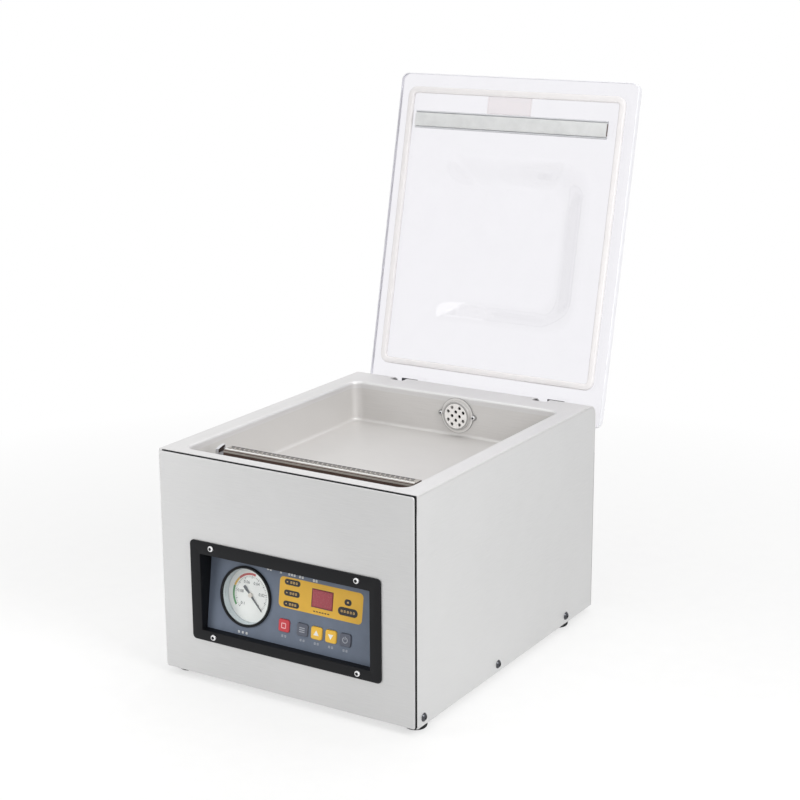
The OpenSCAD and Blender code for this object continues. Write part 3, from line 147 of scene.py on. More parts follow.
def prism(points, low, high):
    """A flat outline (counter-clockwise) raised from height low to height high."""
    flat = np.asarray(points, float)
    tall = np.stack([np.column_stack([flat, np.full(len(flat), h)]) for h in (low, high)])
    return skin(tall)


def slab(half_x, half_y, low, high, x=0.0, y=0.0):
    """Plain block x +- half_x by y +- half_y, from height low to height high."""
    left, right, near, far = x - half_x, x + half_x, y - half_y, y + half_y
    return prism([(left, near), (right, near), (right, far), (left, far)], low, high)


def carried(section, ends, y):
    """Section carried along x: its point (a, h) becomes (end, y + a, h) at both ends."""
    s = np.asarray(section, float)
    return skin(np.stack([np.column_stack([np.full(len(s), x), s[:, 0] + y, s[:, 1]])
                          for x in ends]))


def hollow(outer, inner, low, high, steps):
    """Flat frame between two rounded rectangles: four rings, up the outer one and down the inner
    one. Each is given as width, depth and radius, and x and y of its centre if it has moved.
    """
    rows = [(*side[:3], z, *side[3:])
            for side, z in ((outer, low), (outer, high), (inner, high), (inner, low))]
    return skin(rings(rows, steps), wrap=True)


def soft_block(width, depth, radius, low, high, edge, steps, x=0, y=0):
    """Block with its upper edge rounded: rings shrink by edge (1 - cos t) while they climb
    edge sin t.
    """
    t = np.linspace(0, np.pi / 2, 6)
    shrink, climb = edge * (1 - np.cos(t)), edge * np.sin(t)
    rows = [(width, depth, radius, low, x, y)]
    rows += [(width - 2 * s, depth - 2 * s, max(radius - s, 0.2), high - edge + c, x, y)
             for s, c in zip(shrink, climb)]
    return skin(rings(rows, steps))


def bend(start, turn, centre, radius, steps=6):
    """Points centre + radius (cos t, sin t) for t from start to start + turn degrees."""
    t = np.radians(np.linspace(start, start + turn, steps))
    return np.column_stack([centre[0] + radius * np.cos(t), centre[1] + radius * np.sin(t)])


def band(radius, width, start, end, low, high):
    """Flat arc band about the origin between two angles, from height low to height high."""
    outer = bend(start, end - start, (0, 0), radius, 40)
    inner = outer[::-1] * (radius - width) / radius
    return prism(np.concatenate([outer, inner]), low, high)


def tick(angle, near, far, width, low, high):
    """A thin bar along the ray at an angle, from radius near to radius far."""
    a = radians(angle)
    along, across = np.array([cos(a), sin(a)]), np.array([-sin(a), cos(a)]) * width / 2
    return prism([near * along - across, far * along - across,
                  far * along + across, near * along + across], low, high)


def joined(*shells):
    """Several shells as one: their points in one array, their faces renumbered."""
    points, faces, base = [], [], 0
    for p, f in shells:
        points.append(p)
        faces += [[base + a for a in face] for face in f]
        base += len(p)
    return np.concatenate(points), faces


def moved(shell, x=0, y=0, z=0):
    """The shell shifted by (x, y, z)."""
    return shell[0] + np.array([x, y, z], float), shell[1]


def stood(shell, y, z, lean=0.0):
    """A flat shape stood up at (y, z), facing -y: (a, b, c) becomes
    (a, y + b sin t - c cos t, z + b cos t + c sin t), with t its lean.
    """
    p, faces = shell
    return np.column_stack([p[:, 0], y + p[:, 1] * sin(lean) - p[:, 2] * cos(lean),
                            z + p[:, 1] * cos(lean) + p[:, 2] * sin(lean)]), faces


def lid_open(shell):
    """The closed lid's points turned back about the hinge line:
    y' = hy + dy cos a - dz sin a, z' = hz + dy sin a + dz cos a, with a = -opening.
    """
    a = radians(-LID_OPEN)
    p, faces = shell
    y, z = p[:, 1] - HINGE_Y, p[:, 2] - HINGE_Z
    return np.column_stack([p[:, 0], HINGE_Y + y * cos(a) - z * sin(a),
                            HINGE_Z + y * sin(a) + z * cos(a)]), faces


PANEL_TILT = radians(8.4)
PANEL_Y, PANEL_Z = -181.6, 63.4


def on_panel(shell, x=0.0, v=0.0, w=0.0):
    """Sloping panel: (a, b, c) lands at x + a across, v + b up the slope, w + c outward."""
    return stood(moved(shell, x, v, w), PANEL_Y, PANEL_Z, PANEL_TILT)


def lettered(text, size, low, high):
    """A centred word of the built-in face, as a mesh from height low to height high."""
    curve = bpy.data.curves.new("word", "FONT")
    curve.body, curve.size, curve.extrude = text, size, (high - low) / 2
    curve.align_x, curve.align_y = "CENTER", "CENTER"
    curve.resolution_u = 3
    holder = bpy.data.objects.new("word", curve)
    mesh = holder.to_mesh()
    points = np.empty(len(mesh.vertices) * 3)
    mesh.vertices.foreach_get("co", points)
    faces = [list(p.vertices) for p in mesh.polygons]
    holder.to_mesh_clear()
    bpy.data.objects.remove(holder)
    bpy.data.curves.remove(curve)
    points = points.reshape(-1, 3)
    points[:, 2] += (high + low) / 2
    return points, faces


def piece(name, shell, kinds, body, replaced=(), sharp=40, pick=None):
    """Makes the object: points to metres, smooth faces with sharp edges past an angle, its
    finishes, its body and the CAD parts that it stands for. Pick gives the number of
    the finish of each face.
    """
    points, faces = shell
    if not len(points):
        raise RuntimeError(name + " has no surface")
    mesh = bpy.data.meshes.new(name)
    mesh.from_pydata((points * MM).tolist(), [], faces)
    for kind in (kinds,) if isinstance(kinds, str) else kinds:
        mesh.materials.append(finish(kind))
    if pick is not None:
        mesh.polygons.foreach_set("material_index", np.asarray(pick, np.int32))
    mesh.polygons.foreach_set("use_smooth", np.ones(len(mesh.polygons), bool))
    mesh.update()
    mesh.set_sharp_from_angle(angle=radians(sharp))
    made = bpy.data.objects.new(name, mesh)
    bpy.context.scene.collection.objects.link(made)
    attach(made, body)
    if replaced:
        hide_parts(*replaced)


# ---------------------------------------------------------------- finishes

MIX_A, MIX_B, MIX_OUT = 6, 7, 2  # the colour sockets of a mix node
WHITE = (1.0, 1.0, 1.0, 1.0)


class Finish:
    """A material or a world under construction: nodes are added by kind and joined by name."""

    def __init__(self, name, store="materials", shader="BsdfPrincipled", out="OutputMaterial"):
        self.made = getattr(bpy.data, store).new(name)
        self.made.use_nodes = True
        self.tree = self.made.node_tree
        self.tree.nodes.clear()
        self.out = self.add("ShaderNode" + out)
        self.shader = self.add("ShaderNode" + shader)
        self.join(self.shader, 0, self.out, 0)

    def add(self, kind, **settings):
        """A node of a kind, with settings; names that are inputs are set on the input."""
        node = self.tree.nodes.new(kind)
        for key, value in settings.items():
            if key in node.inputs:
                node.inputs[key].default_value = value
            else:
                setattr(node, key, value)
        return node

    def join(self, a, out, b, into):
        """Links an output to an input."""
        self.tree.links.new(a.outputs[out], b.inputs[into])

    def place(self, scale=(1.0, 1.0, 1.0)):
        """Object coordinates in metres, stretched by three factors."""
        node = self.add("ShaderNodeMapping", Scale=scale)
        self.join(self.add("ShaderNodeTexCoord"), "Object", node, "Vector")
        return node

    def noise(self, scale, detail=3.0, stretch=(1, 1, 1), rough=0.55):
        """Noise in metres: scale is its number of cells to a metre."""
        node = self.add("ShaderNodeTexNoise", Scale=scale, Detail=detail, Roughness=rough)
        self.join(self.place(stretch), 0, node, "Vector")
        return node

    def spread(self, node, low, high, socket="Fac", start=0.3, end=0.7):
        """A value between low and high that follows the node."""
        ranged = self.add("ShaderNodeMapRange", **{
            "From Min": start, "From Max": end, "To Min": low, "To Max": high})
        self.join(node, socket, ranged, "Value")
        return ranged

    def tint(self, factor, one, two):
        """A colour between two, mixed by the factor node."""
        mix = self.add("ShaderNodeMix", data_type="RGBA")
        mix.inputs[MIX_A].default_value, mix.inputs[MIX_B].default_value = one, two
        self.join(factor, 0, mix, 0)
        return mix

    def bump(self, node, strength, distance):
        """A bump of a depth in metres from the node."""
        made = self.add("ShaderNodeBump", Strength=strength, Distance=distance)
        self.join(node, "Fac", made, "Height")
        self.join(made, "Normal", self.shader, "Normal")

    def cover(self, body, grain, low, high, **levels):
        """Fills in the shader: its colour, a roughness from low to high that follows the grain,
        and plain values of inputs whose names have an underscore for each space.
        """
        self.join(body, MIX_OUT, self.shader, "Base Color")
        self.join(self.spread(grain, low, high), 0, self.shader, "Roughness")
        for key, value in levels.items():
            self.shader.inputs[key.replace("_", " ")].default_value = value

    def instead(self, share, socket, other):
        """Shows another shader in place of the first, by the share."""
        mix = self.add("ShaderNodeMixShader")
        self.join(share, socket, mix, 0)
        self.join(self.shader, 0, mix, 1)
        self.join(other, 0, mix, 2)
        self.join(mix, 0, self.out, 0)

    def looked_at(self):
        """1 for the rays that the picture shows: the camera's, and those of gloss and glass."""
        rays = self.add("ShaderNodeLightPath")
        last, socket = rays, "Is Camera Ray"
        for kind in ("Is Glossy Ray", "Is Transmission Ray"):
            most = self.add("ShaderNodeMath", operation="MAXIMUM")
            self.join(last, socket, most, 0)
            self.join(rays, kind, most, 1)
            last, socket = most, 0
        return last


def shade(base, factor):
    """A colour made lighter or darker by a factor."""
    return tuple(min(c * factor, 1.0) for c in base[:3]) + (1.0,)


def coated(name, base, rough=0.5, metallic=0.0, vary=0.08, cells=60, grain=900,
           depth=0.00004, stretch=(1, 1, 1), strength=0.35, coat=0.0, specular=0.5, wear=0.0,
           opaque=1.0):
    """A finish with drifting colour, a fine grain that moves the roughness and a bump, and
    sparse rubbed specks. Opaque is less than 1 for a thin film that shows what is behind it.
    """
    f = Finish(name)
    level = f.spread(f.noise(cells), 0.0, 1.0)
    body = f.tint(level, shade(base, 1 - vary), shade(base, 1 + vary))
    fine = f.noise(grain, 4.0, stretch, 0.6)
    if wear:
        specks = f.noise(cells * 6, 6.0, rough=0.75)
        rubbed = f.spread(specks, 0.0, wear, start=0.62, end=0.74)
        worn = f.tint(rubbed, base, shade(base, 1.5))
        f.join(body, MIX_OUT, worn, MIX_A)
        body = worn
    f.cover(body, fine, max(rough - 0.08, 0.03), min(rough + 0.08, 1.0), Metallic=metallic,
            Coat_Weight=coat, Specular_IOR_Level=specular, Alpha=opaque)
    f.bump(fine, strength, depth)
    return f.made


def brushed(name, base, along, rough=0.38, metallic=0.5):
    """Steel brushed along an axis: noise stretched thirty times along it moves the colour, the
    roughness and a shallow bump, and a wide drift clouds the sheet.
    """
    stretch = tuple(0.03 if axis == along else 1.0 for axis in "xyz")
    f = Finish(name)
    lines = f.noise(1400, 4.0, stretch, 0.7)
    streak = f.tint(f.spread(lines, 0.0, 1.0), shade(base, 0.94), shade(base, 1.05))
    cloud = f.tint(f.spread(f.noise(9, 2.0), 0.0, 0.5), base, shade(base, 1.06))
    f.join(streak, MIX_OUT, cloud, MIX_A)
    f.cover(cloud, lines, rough - 0.06, rough + 0.08, Metallic=metallic)
    f.bump(lines, 0.25, 0.00003)
    return f.made


def clear(name, base, rough=0.03, ior=1.49, cast=0.9, deep=0.75):
    """Clear acrylic or glass: a clear shader that lets the lamps' rays through with its tint, and
    is deeper where a ray crosses it on a slant.
    """
    f = Finish(name)
    fine = f.noise(35, 2.0)
    body = f.tint(f.spread(fine, 0.0, 1.0), shade(base, 0.985), base)
    slant = f.spread(f.add("ShaderNodeLayerWeight", Blend=0.5), 0.0, 1.0, "Facing", 0.18, 0.85)
    thick = f.tint(slant, base, shade(base, deep))
    f.join(body, MIX_OUT, thick, MIX_A)
    f.cover(thick, fine, rough * 0.6, rough * 1.4, Transmission_Weight=1.0, IOR=ior)
    f.bump(fine, 0.05, 0.0001)
    f.instead(f.add("ShaderNodeLightPath"), "Is Shadow Ray",
              f.add("ShaderNodeBsdfTransparent", Color=shade(base, cast)))
    return f.made


SEAM_X = -0.16  # where the black frame's painted shade ends, in metres


def seam_paint(base, sheet):
    """Painted shade: black paint, darkened further, on the frame behind the front's seam stands in
    for the shadow in the gap; it stops at the left return of the front, where x < SEAM_X and the
    bare sheet shows: the mix is a step of x.
    """
    f = Finish("seam_paint")
    fine = f.noise(900, 4.0)
    body = f.tint(f.spread(fine, 0.0, 1.0), shade(base, 0.3), shade(base, 0.45))
    across = f.add("ShaderNodeSeparateXYZ")
    f.join(f.place(), 0, across, 0)
    step = f.spread(across, 1.0, 0.0, "X", SEAM_X - 0.0002, SEAM_X + 0.0002)
    bare = f.tint(step, base, sheet)
    f.join(body, MIX_OUT, bare, MIX_A)
    f.cover(bare, fine, 0.42, 0.58, Specular_IOR_Level=0.12)
    f.bump(fine, 0.3, 0.00004)
    return f.made


PORT = (6.0, 171.0, 239.0)  # the middle of the air port's cap
PORT_SHADE_RINGS = ((0.0, 1.45), (15.0, 1.45), (15.8, 0.42), (16.8, 0.5), (17.8, 0.8), (19.0, 1.05),
              (21.2, 1.2), (21.9, 0.35))  # radius and painted light level: painted highlight on the face, painted shade in the groove and at the flange's edge
PORT_REACH = 24.0


def painted_shade_cap(base):
    """Pressed cover of the air port: rings of painted light and shade about its axis, by the
    distance from it, laid over its parts: a painted highlight on the polished face, painted shade
    in the rolled groove, a painted gradient of light up the brushed cone and a painted dark line
    at the thin flange's edge.
    """
    f = Finish("pressed_steel")
    away = f.add("ShaderNodeVectorMath", operation="DISTANCE")
    away.inputs[1].default_value = (PORT[0] * MM, 0.0, PORT[2] * MM)
    f.join(f.place((1.0, 0.0, 1.0)), 0, away, 0)
    ramp = f.add("ShaderNodeValToRGB")
    f.join(f.spread(away, 0.0, 1.0, "Value", 0.0, PORT_REACH * MM), 0, ramp, 0)
    stops = ramp.color_ramp.elements
    for k, (radius, tone) in enumerate(PORT_SHADE_RINGS):
        stop = stops[k] if k < 2 else stops.new(radius / PORT_REACH)
        stop.position, stop.color = radius / PORT_REACH, shade(base, tone)
    fine = f.noise(900)
    body = f.tint(f.spread(fine, 0.0, 0.25), WHITE, (0.8, 0.8, 0.8, 1))
    f.join(ramp, 0, body, MIX_A)
    f.cover(body, fine, 0.28, 0.4, Metallic=0.35)
    f.bump(fine, 0.1, 0.00001)
    return f.made


MADE = {}


def finish(kind):
    """The finish of a kind, made once from the colours that the panel shows."""
    if kind not in MADE:
        MADE[kind] = FINISHES[kind](kind, bpy.context.scene.sealer_colours)
    return MADE[kind]


def coat(base, *levels, name=None, **more):
    """How to make a coated finish from the code of a colour, or from the name of one of the
    panel's colours. It is called as its kind unless it has a name.
    """
    def make(kind, colours):
        tone = linear(base) if base.startswith("#") else getattr(colours, base)
        return coated(name or kind, tone, *levels, **more)
    return make


FINISHES = {
    "brushed_x": lambda kind, c: brushed("brushed_sheet", c.sheet, "x"),
    "brushed_y": lambda kind, c: brushed("brushed_side", c.sheet, "y"),
    "deck": lambda kind, c: brushed("brushed_deck", c.deck, "y", 0.4),
    "tub": lambda kind, c: brushed("drawn_steel", c.tub, "x", 0.45, 0.4),
    "bar_aluminium": lambda kind, c: brushed(kind, c.bar, "x", 0.38, 0.7),
    "seam_paint": lambda kind, c: seam_paint(c.black, c.sheet),
    # painted light and shade in rings on the air port's cap
    "pressed_steel": lambda kind, c: painted_shade_cap(c.tub),
    "clear_acrylic": lambda kind, c: clear(kind, c.acrylic),
    "clear_lens": lambda kind, c: clear(kind, linear("#fbfcfc"), 0.02, 1.45, 1.0, 0.95),
    "black_paint": coat("black", specular=0.3, wear=0.2),
    "screw_steel": coat("#c9cacd", 0.22, 1.0, cells=300),
    "bright_screw": coat("#ededee", 0.25, 0.7, 0.03),
    # painted reflection: a dark steel stands in for the dark reflections on the chrome heads of
    # the dome screws
    "dome_steel": coat("#505155", 0.16, 1.0, cells=300, depth=0.00001, strength=0.1),
    "black_rubber": coat("#17181a", 0.8, 0.0, 0.15, grain=1500, specular=0.3, wear=0.25),
    "polished_steel": coat("#dcdde0", 0.12, 1.0, 0.04, depth=0.00001, strength=0.1),
    "cast_aluminium": coat("#a9abae", 0.55, 0.9, 0.12, grain=700, depth=0.0002, strength=0.5),
    "brown_insulator": coat("#4a3830", 0.6, 0.0, 0.2, grain=1200, stretch=(0.05, 1, 1), wear=0.2,
                            name="brown_laminate"),
    "coated_tape": coat("tape", 0.42, 0.0, 0.06, 120, 1600, 0.00005, strength=0.4),
    "spring_steel": coat("#8d9094", 0.35, 1.0, cells=200),
    "sawn_edge": coat("#eeeef2", 0.35, 0.0, 0.03, grain=600, depth=0.00002, strength=0.2,
                      name="polished_edge"),
    "gasket_rubber": coat("gasket", 0.5, 0.0, 0.02, 90, 1300, specular=0.35),
    "pad_silicone": coat("#dcdddd", 0.55, 0.0, 0.05, 80, 1500),
    "pale_painted_steel": coat("#cfd1d4", 0.4, 0.1, 0.05, coat=0.2, wear=0.2, name="pale_paint"),
    "black_plastic": coat("moulding", 0.4, 0.0, 0.12, grain=1500, depth=0.00006, strength=0.4,
                          specular=0.22, wear=0.1, name="black_moulding"),
    "slate_plastic": coat("slate", 0.5, 0.0, 0.06, grain=1800, strength=0.5, name="slate_film"),
    "red_window": coat("window", 0.25, 0.0, 0.05, coat=0.4),
    "white_dial": coat("#fafaf7", 0.5, 0.0, 0.02),
    "grey_needle": coat("#50555a", 0.4),
    "red_key": coat("red", 0.45, 0.0, 0.05, coat=0.15),
    "grey_key": coat("#5a5e6a", 0.5, 0.0, 0.06),
    "yellow_key": coat("yellow", 0.45, 0.0, 0.05, coat=0.15),
    "green_board": coat("#2c6e42", 0.45, 0.0, 0.15, 150),
    "pump_iron": coat("#55585c", 0.6, 0.6, 0.15, grain=500, depth=0.0003, strength=0.6, wear=0.2),
    "grey_paint": coat("#7d8084", wear=0.25),
    "copper_winding": coat("#a8642f", 0.35, 0.9, 0.15, stretch=(1, 0.05, 1)),
    "blue_plastic": coat("#3d64a0", 0.4, name="blue_sleeve"),
    "label_film": coat("#f3d3c8", 0.5, 0.0, 0.03, strength=0.1, specular=0.2, opaque=0.115),
    "white_print": coat("#e8e8e4", 0.55, 0.0, 0.03),
    "warm_print": coat("#c9a66a", 0.55, 0.0, 0.05),
    "dark_print": coat("#232429", 0.45),
    "field_yellow": coat("field", 0.5, 0.0, 0.06, 25, 1600, strength=0.4),
    # painted highlight: near-white for the bead along the sealing bar's front edge
    "edge_bead": coat("#fafaf8", 0.4, 0.1, 0.03),
    # dark steel; on the hinge's arms and brackets it is painted shade of the gaps about them
    "dark_steel": coat("#3d3e42", 0.4, 0.6, 0.1),
    "soft_sign": coat("#a3a6ae", 0.55, 0.0, 0.04),
    "rose_sign": coat("#eab9bb", 0.5, 0.0, 0.04),
    "hub_cap": coat("#e6ddd3", 0.35, 0.0, 0.05),
    "well_silver": coat("#cfd8dc", 0.35, 0.3, 0.06),
    "green_print": coat("#4f9a5a", 0.5, 0.0, 0.04),
    "amber_print": coat("#e3b13a", 0.5, 0.0, 0.04),
    "red_print": coat("#c2463f", 0.5, 0.0, 0.04),
    "segment_red": coat("#7c2832", 0.4, 0.0, 0.05),
}
SLOT_FINISH = {"brushed_steel": "brushed_x", "chamber_steel": "tub"}
NODE_FINISH = {"top_deck": "deck", "left_side_panel": "brushed_y", "right_side_panel": "brushed_y",
               "front_frame": "seam_paint", "port_cap": "pressed_steel",
               # painted reflection: the dome screws take a dark steel for their dark reflections
               "dome_screws": "dome_steel", "terminal_post": "polished_steel",
               # painted shade: hinge_arms and hinge_brackets take dark steel for the shade in the
               # gaps about the hinge
               # painted shade: port_elbow is painted black so that the holes of the port's cap
               # show dark
               "port_elbow": "black_paint", "hinge_arms": "dark_steel",
               "hinge_brackets": "dark_steel"}


# ---------------------------------------------------------------- what a user may change

class SealerSizes(bpy.types.PropertyGroup):
    """Sizes of the pieces made here."""
    dome_height: length("Dome height", "Rise of the lid's dome over its plate", 29)
    dome_wall: length("Dome wall", "How far the hollow stays inside the dome's foot", 6)
    lid_edge: length("Lid edge round", "Rounding of the lid plate's edges", 1.2)
    gasket_round: length("Gasket round", "Rounding of the gasket's lower face", 2.0)
    foot_round: length("Foot round", "Rounding of each foot's lower edge", 3.0)
    key_edge: length("Key edge round", "Rounding of each key's upper edge", 1.0)
    bezel_edge: length("Bezel edge round", "Rounding of the bezel's outer edge", 0.8)
    print_step: length("Print thickness", "Height of the printed film over the panel", 0.06)


class SealerColours(bpy.types.PropertyGroup):
    """Colours of the finishes."""
    sheet: colour("Sheet", "Brushed steel of the case", "#cfcfcf")
    deck: colour("Deck", "Brushed steel of the deck", "#dad9d9")
    tub: colour("Chamber", "Drawn steel of the chamber", "#d5d3d1")
    bar: colour("Sealing bar", "Aluminium of the sealing bar", "#d4d5d8")
    tape: colour("Bar tape", "Coated glass tape over the bar", "#a39d96")
    # painted shade: this black, on the frame behind the front's seam and on the port's elbow,
    # stands in for the shadow in the gap and in the port's holes
    black: colour("Black paint", "Inner frame behind the front", "#222326")
    moulding: colour("Black moulding", "Bezel, gauge ring and sockets", "#0f1013")
    slate: colour("Slate film", "Film of the control panel", "#667080")
    field: colour("Yellow field", "Printed field behind the lamps", "#e0b040")
    yellow: colour("Yellow keys", "Up and down keys", "#e8b840")
    red: colour("Red key", "Stop key", "#c43a42")
    window: colour("Display window", "Tinted window of the display", "#a8434f")
    acrylic: colour("Lid acrylic", "Tint of the lid", "#f4f3f7")
    gasket: colour("Gasket", "Rubber of the lid's gasket", "#f1eeee")


# ---------------------------------------------------------------- pieces

class SEALER_OT_carried_parts(bpy.types.Operator):
    """Gives every CAD part the finish of its slot"""
    bl_idname = "sealer.carried_parts"
    bl_label = "CAD parts' finishes"

    def execute(self, context):
        for name, part in frame["nodes"].items():
            for index, slot in enumerate(part.material_slots):
                kind = slot.material.name.split(".")[0] if slot.material else "grey_paint"
                kind = NODE_FINISH.get(name, SLOT_FINISH.get(kind, kind))
                part.material_slots[index].material = finish(kind)
        return {"FINISHED"}


# the lid's plate when it is closed, the ring of its gasket, and the foot and top of its dome:
# width, depth, radius and y of the middle
LID_Y, LID_Z, LID_W, LID_D, LID_T, LID_R = 15.5, 267.0, 330.0, 414.0, 9.0, 10.0
RING_Y, RING_W, RING_D, RING_R, RING_BAND = 2.0, 301.4, 353.0, 12.0, 8.0
DOME_FOOT, DOME_TOP = np.array([250, 239, 42, 10.0]), np.array([130, 135, 26, 17.0])
DOME_CAP = (40, 40, 12)
GROOVE, CROWN = 2.0, 6.0  # depth of the gasket's groove, and thickness of the dome's top
LABEL_X, LABEL_Y, LABEL_GAP = -9.0, -159.75, 0.05


class SEALER_OT_lid(bpy.types.Operator):
    """Lid: one shell of rings, over the plate, up an S curve h (1 - cos 180u) / 2 and back
    underneath through the hollow and the gasket groove"""
    bl_idname = "sealer.lid"
    bl_label = "Lid with its dome"

    def execute(self, context):
        sizes = context.scene.sealer_sizes
        e, high, wall = (s / MM for s in (sizes.lid_edge, sizes.dome_height, sizes.dome_wall))
        u = np.linspace(0, 1, 28)
        climb = (1 - np.cos(np.pi * u)) / 2
        in_foot = DOME_FOOT - (2 * wall, 2 * wall, wall, 0)
        in_top = DOME_TOP - (wall, wall, wall / 2, 0)
        over = DOME_FOOT + (DOME_TOP - DOME_FOOT) * u[:, None]
        under = (in_foot + (in_top - in_foot) * u[:, None])[::-1]
        rise = high + LID_T - CROWN
        rows = [(w, d, r, LID_Z + rise * c, 0, y) for (w, d, r, y), c in zip(under, climb[::-1])]
        rows.insert(0, (*DOME_CAP, rows[0][3], 0, rows[0][5]))
        less = 2 * RING_BAND
        inner = (RING_W - less, RING_D - less, RING_R - less / 2)
        outer = (RING_W, RING_D, RING_R)
        rows += [(*side, LID_Z + up, 0, RING_Y) for side, up in
                 ((inner, 0), (inner, GROOVE), (outer, GROOVE), (outer, 0))]
        edge_start = len(rows)
        turn = [(e * (1 - sin(t)), e * (1 - cos(t))) for t in np.radians(np.linspace(0, 90, 5))]
        edge = [(s, LID_Z + c) for s, c in turn] + [(s, LID_Z + LID_T - c) for s, c in turn[::-1]]
        rows += [(LID_W - 2 * s, LID_D - 2 * s, LID_R - s, z, 0, LID_Y) for s, z in edge]
        rows += [(w, d, r, LID_Z + LID_T + high * c, 0, y) for (w, d, r, y), c in zip(over, climb)]
        rows.append((*DOME_CAP, rows[-1][3], 0, rows[-1][5]))
        steps = 16
        shell = skin(rings(rows, steps))
        ring = np.arange(len(shell[1])) // (4 * (steps + 1))
        sawn = (ring >= edge_start) & (ring < edge_start + len(edge) - 1)
        piece("lid", lid_open(shell), ("clear_acrylic", "sawn_edge"), "lid",
              ("lid_shell",), sharp=50, pick=sawn)
        label = joined(soft_block(62, 30.5, 1.2, 0, 0.3, 0.1, 4),
                       hollow((59, 27.5, 0.8), (58, 26.5, 0.6), 0.31, 0.38, 3))
        piece("blank_label", lid_open(moved(label, LABEL_X, LABEL_Y, LID_Z + LID_T + LABEL_GAP)),
              "label_film", "lid")
        return {"FINISHED"}


class SEALER_OT_lid_gasket(bpy.types.Operator):
    """Gasket: a closed section with a rounded lower face, carried round the chamber"""
    bl_idname = "sealer.lid_gasket"
    bl_label = "Lid gasket"

    def execute(self, context):
        r = context.scene.sealer_sizes.gasket_round / MM
        low, high, b = 263.35, 268.75, RING_BAND
        turn = np.radians((0, 25, 50, 75, 90))
        section = [(b, high), (b, low + r)]
        section += [(b - r + r * cos(a), low + r - r * sin(a)) for a in turn[1:]]
        section += [(r - r * sin(a), low + r - r * cos(a)) for a in turn[:-1]]
        section += [(0, low + r), (0, high)]
        rows = [(RING_W - 2 * s - 0.1, RING_D - 2 * s - 0.1, max(RING_R - s, 2.5), z, 0, RING_Y)
                for s, z in section]
        piece("gasket", lid_open(skin(rings(rows, 12), wrap=True)), "gasket_rubber", "lid",
              ("lid_gasket",))
        return {"FINISHED"}


class SEALER_OT_lid_pad(bpy.types.Operator):
    """Pad channel and pad: folded channel section and a crowned pad, carried along x"""
    bl_idname = "sealer.lid_pad"
    bl_label = "Pad and its channel"

    def execute(self, context):
        x, y, half, long = -3, -133.5, 11.0, 267.0
        section = [(-half, 267), (-half, 264.4), (-half + 0.6, 263.8), (-half + 1.6, 263.8),
                   (-half + 2.1, 264.4), (-half + 2.1, 265.9), (half - 2.1, 265.9),
                   (half - 2.1, 264.4), (half - 1.6, 263.8), (half - 0.6, 263.8), (half, 264.4),
                   (half, 267)]
        ends = np.array([x - long / 2, x + long / 2])
        channel = carried(section, ends, y)
        clip = moved(soft_block(1.0, 15.0, 0.4, 263.9, 266.0, 0.3, 3), x + long / 2 - 0.4, y)
        brown = np.arange(len(channel[1]) + len(clip[1])) >= len(channel[1])
        piece("pad_holder", lid_open(joined(channel, clip)), ("bar_aluminium", "brown_insulator"),
              "lid", ("pad_channel",), pick=brown)
        t = np.radians(np.linspace(0, 180, 13))
        crown = np.column_stack([8.5 * np.cos(t), 264.0 - 1.7 * np.sin(t) ** 0.6])
        pad = np.concatenate([[(-8.5, 265.9), (8.5, 265.9)], crown])[::-1]
        piece("pad", lid_open(carried(pad, ends + (0.4, -0.4), y)), "pad_silicone", "lid",
              ("lid_pad",))
        return {"FINISHED"}


BAR_X, BAR_Y, BAR_L, BAR_TOP = 10.5, -131.5, 245.0, 257.9
BAR_HALF, TAPE = 8.5, 0.28  # half the tape's width, and its thickness
CRIMP_STEP, CRIMPS = 6.1, 39


class SEALER_OT_sealing_bar(bpy.types.Operator):
    """Bar set: tape folded over the laminate, a near-white bead along its front that is a painted
    highlight on the tape's edge, and the strip's crimps showing through as three rows of raised
    dashes"""
    bl_idname = "sealer.sealing_bar"
    bl_label = "Sealing bar's tape and strip"

    def execute(self, context):
        half, top, skirt = BAR_HALF, BAR_TOP, BAR_TOP - 6.6
        front = [(-half, skirt), (-half, top - 3.3), (-half, top - 1.6), (-half + 0.5, top - 1.1),
                 (-half + 2.6, top - 0.1), (-half + 3.2, top)]
        rear = bend(0, 90, (half - 1.0, top - 1.0), 1.0, 5)
        outer = np.concatenate([[(half, skirt)], rear, front[::-1]])
        inner = outer[::-1] - (0, TAPE)
        inner[:, 0] *= (half - TAPE) / half
        inner[[0, -1], 1] = skirt
        ends = BAR_X + np.array([-0.5, 0.5]) * BAR_L
        tape = carried(np.concatenate([outer, inner]), ends, BAR_Y)
        brown = np.zeros(len(tape[1]), int)
        brown[len(outer) - 2:len(outer)] = 1
        piece("tape", tape, ("coated_tape", "brown_insulator"), "sealing_bar",
              ("bar_tape",), pick=brown)
        # painted highlight: a near-white bead on the tape's front edge stands in for the light
        # line along it
        bead = bend(180, -180, (-half + 3.4, top - 0.02), 0.8, 7)[::-1]
        piece("edge_bead", carried(bead, ends + (0.5, -0.5), BAR_Y), "edge_bead", "sealing_bar")
        first = BAR_X - BAR_L / 2 + 4
        dashes = [soft_block(long, deep, 0.4, top - 0.05, top + 0.1, 0.08, 1,
                             first + shift + k * CRIMP_STEP, BAR_Y + row)
                  for row, shift, deep, long in
                  ((-1.6, 0, 1.2, 4.4), (1.9, 1.8, 2.4, 4.2), (6.0, 0, 2.6, 5.4))
                  for k in range(CRIMPS)]
        piece("strip_marks", joined(*dashes), "dark_print", "sealing_bar")
        return {"FINISHED"}


BEZEL_Y, BEZEL_Z = -188.5, 108.8
WINDOW_Z = 107.6


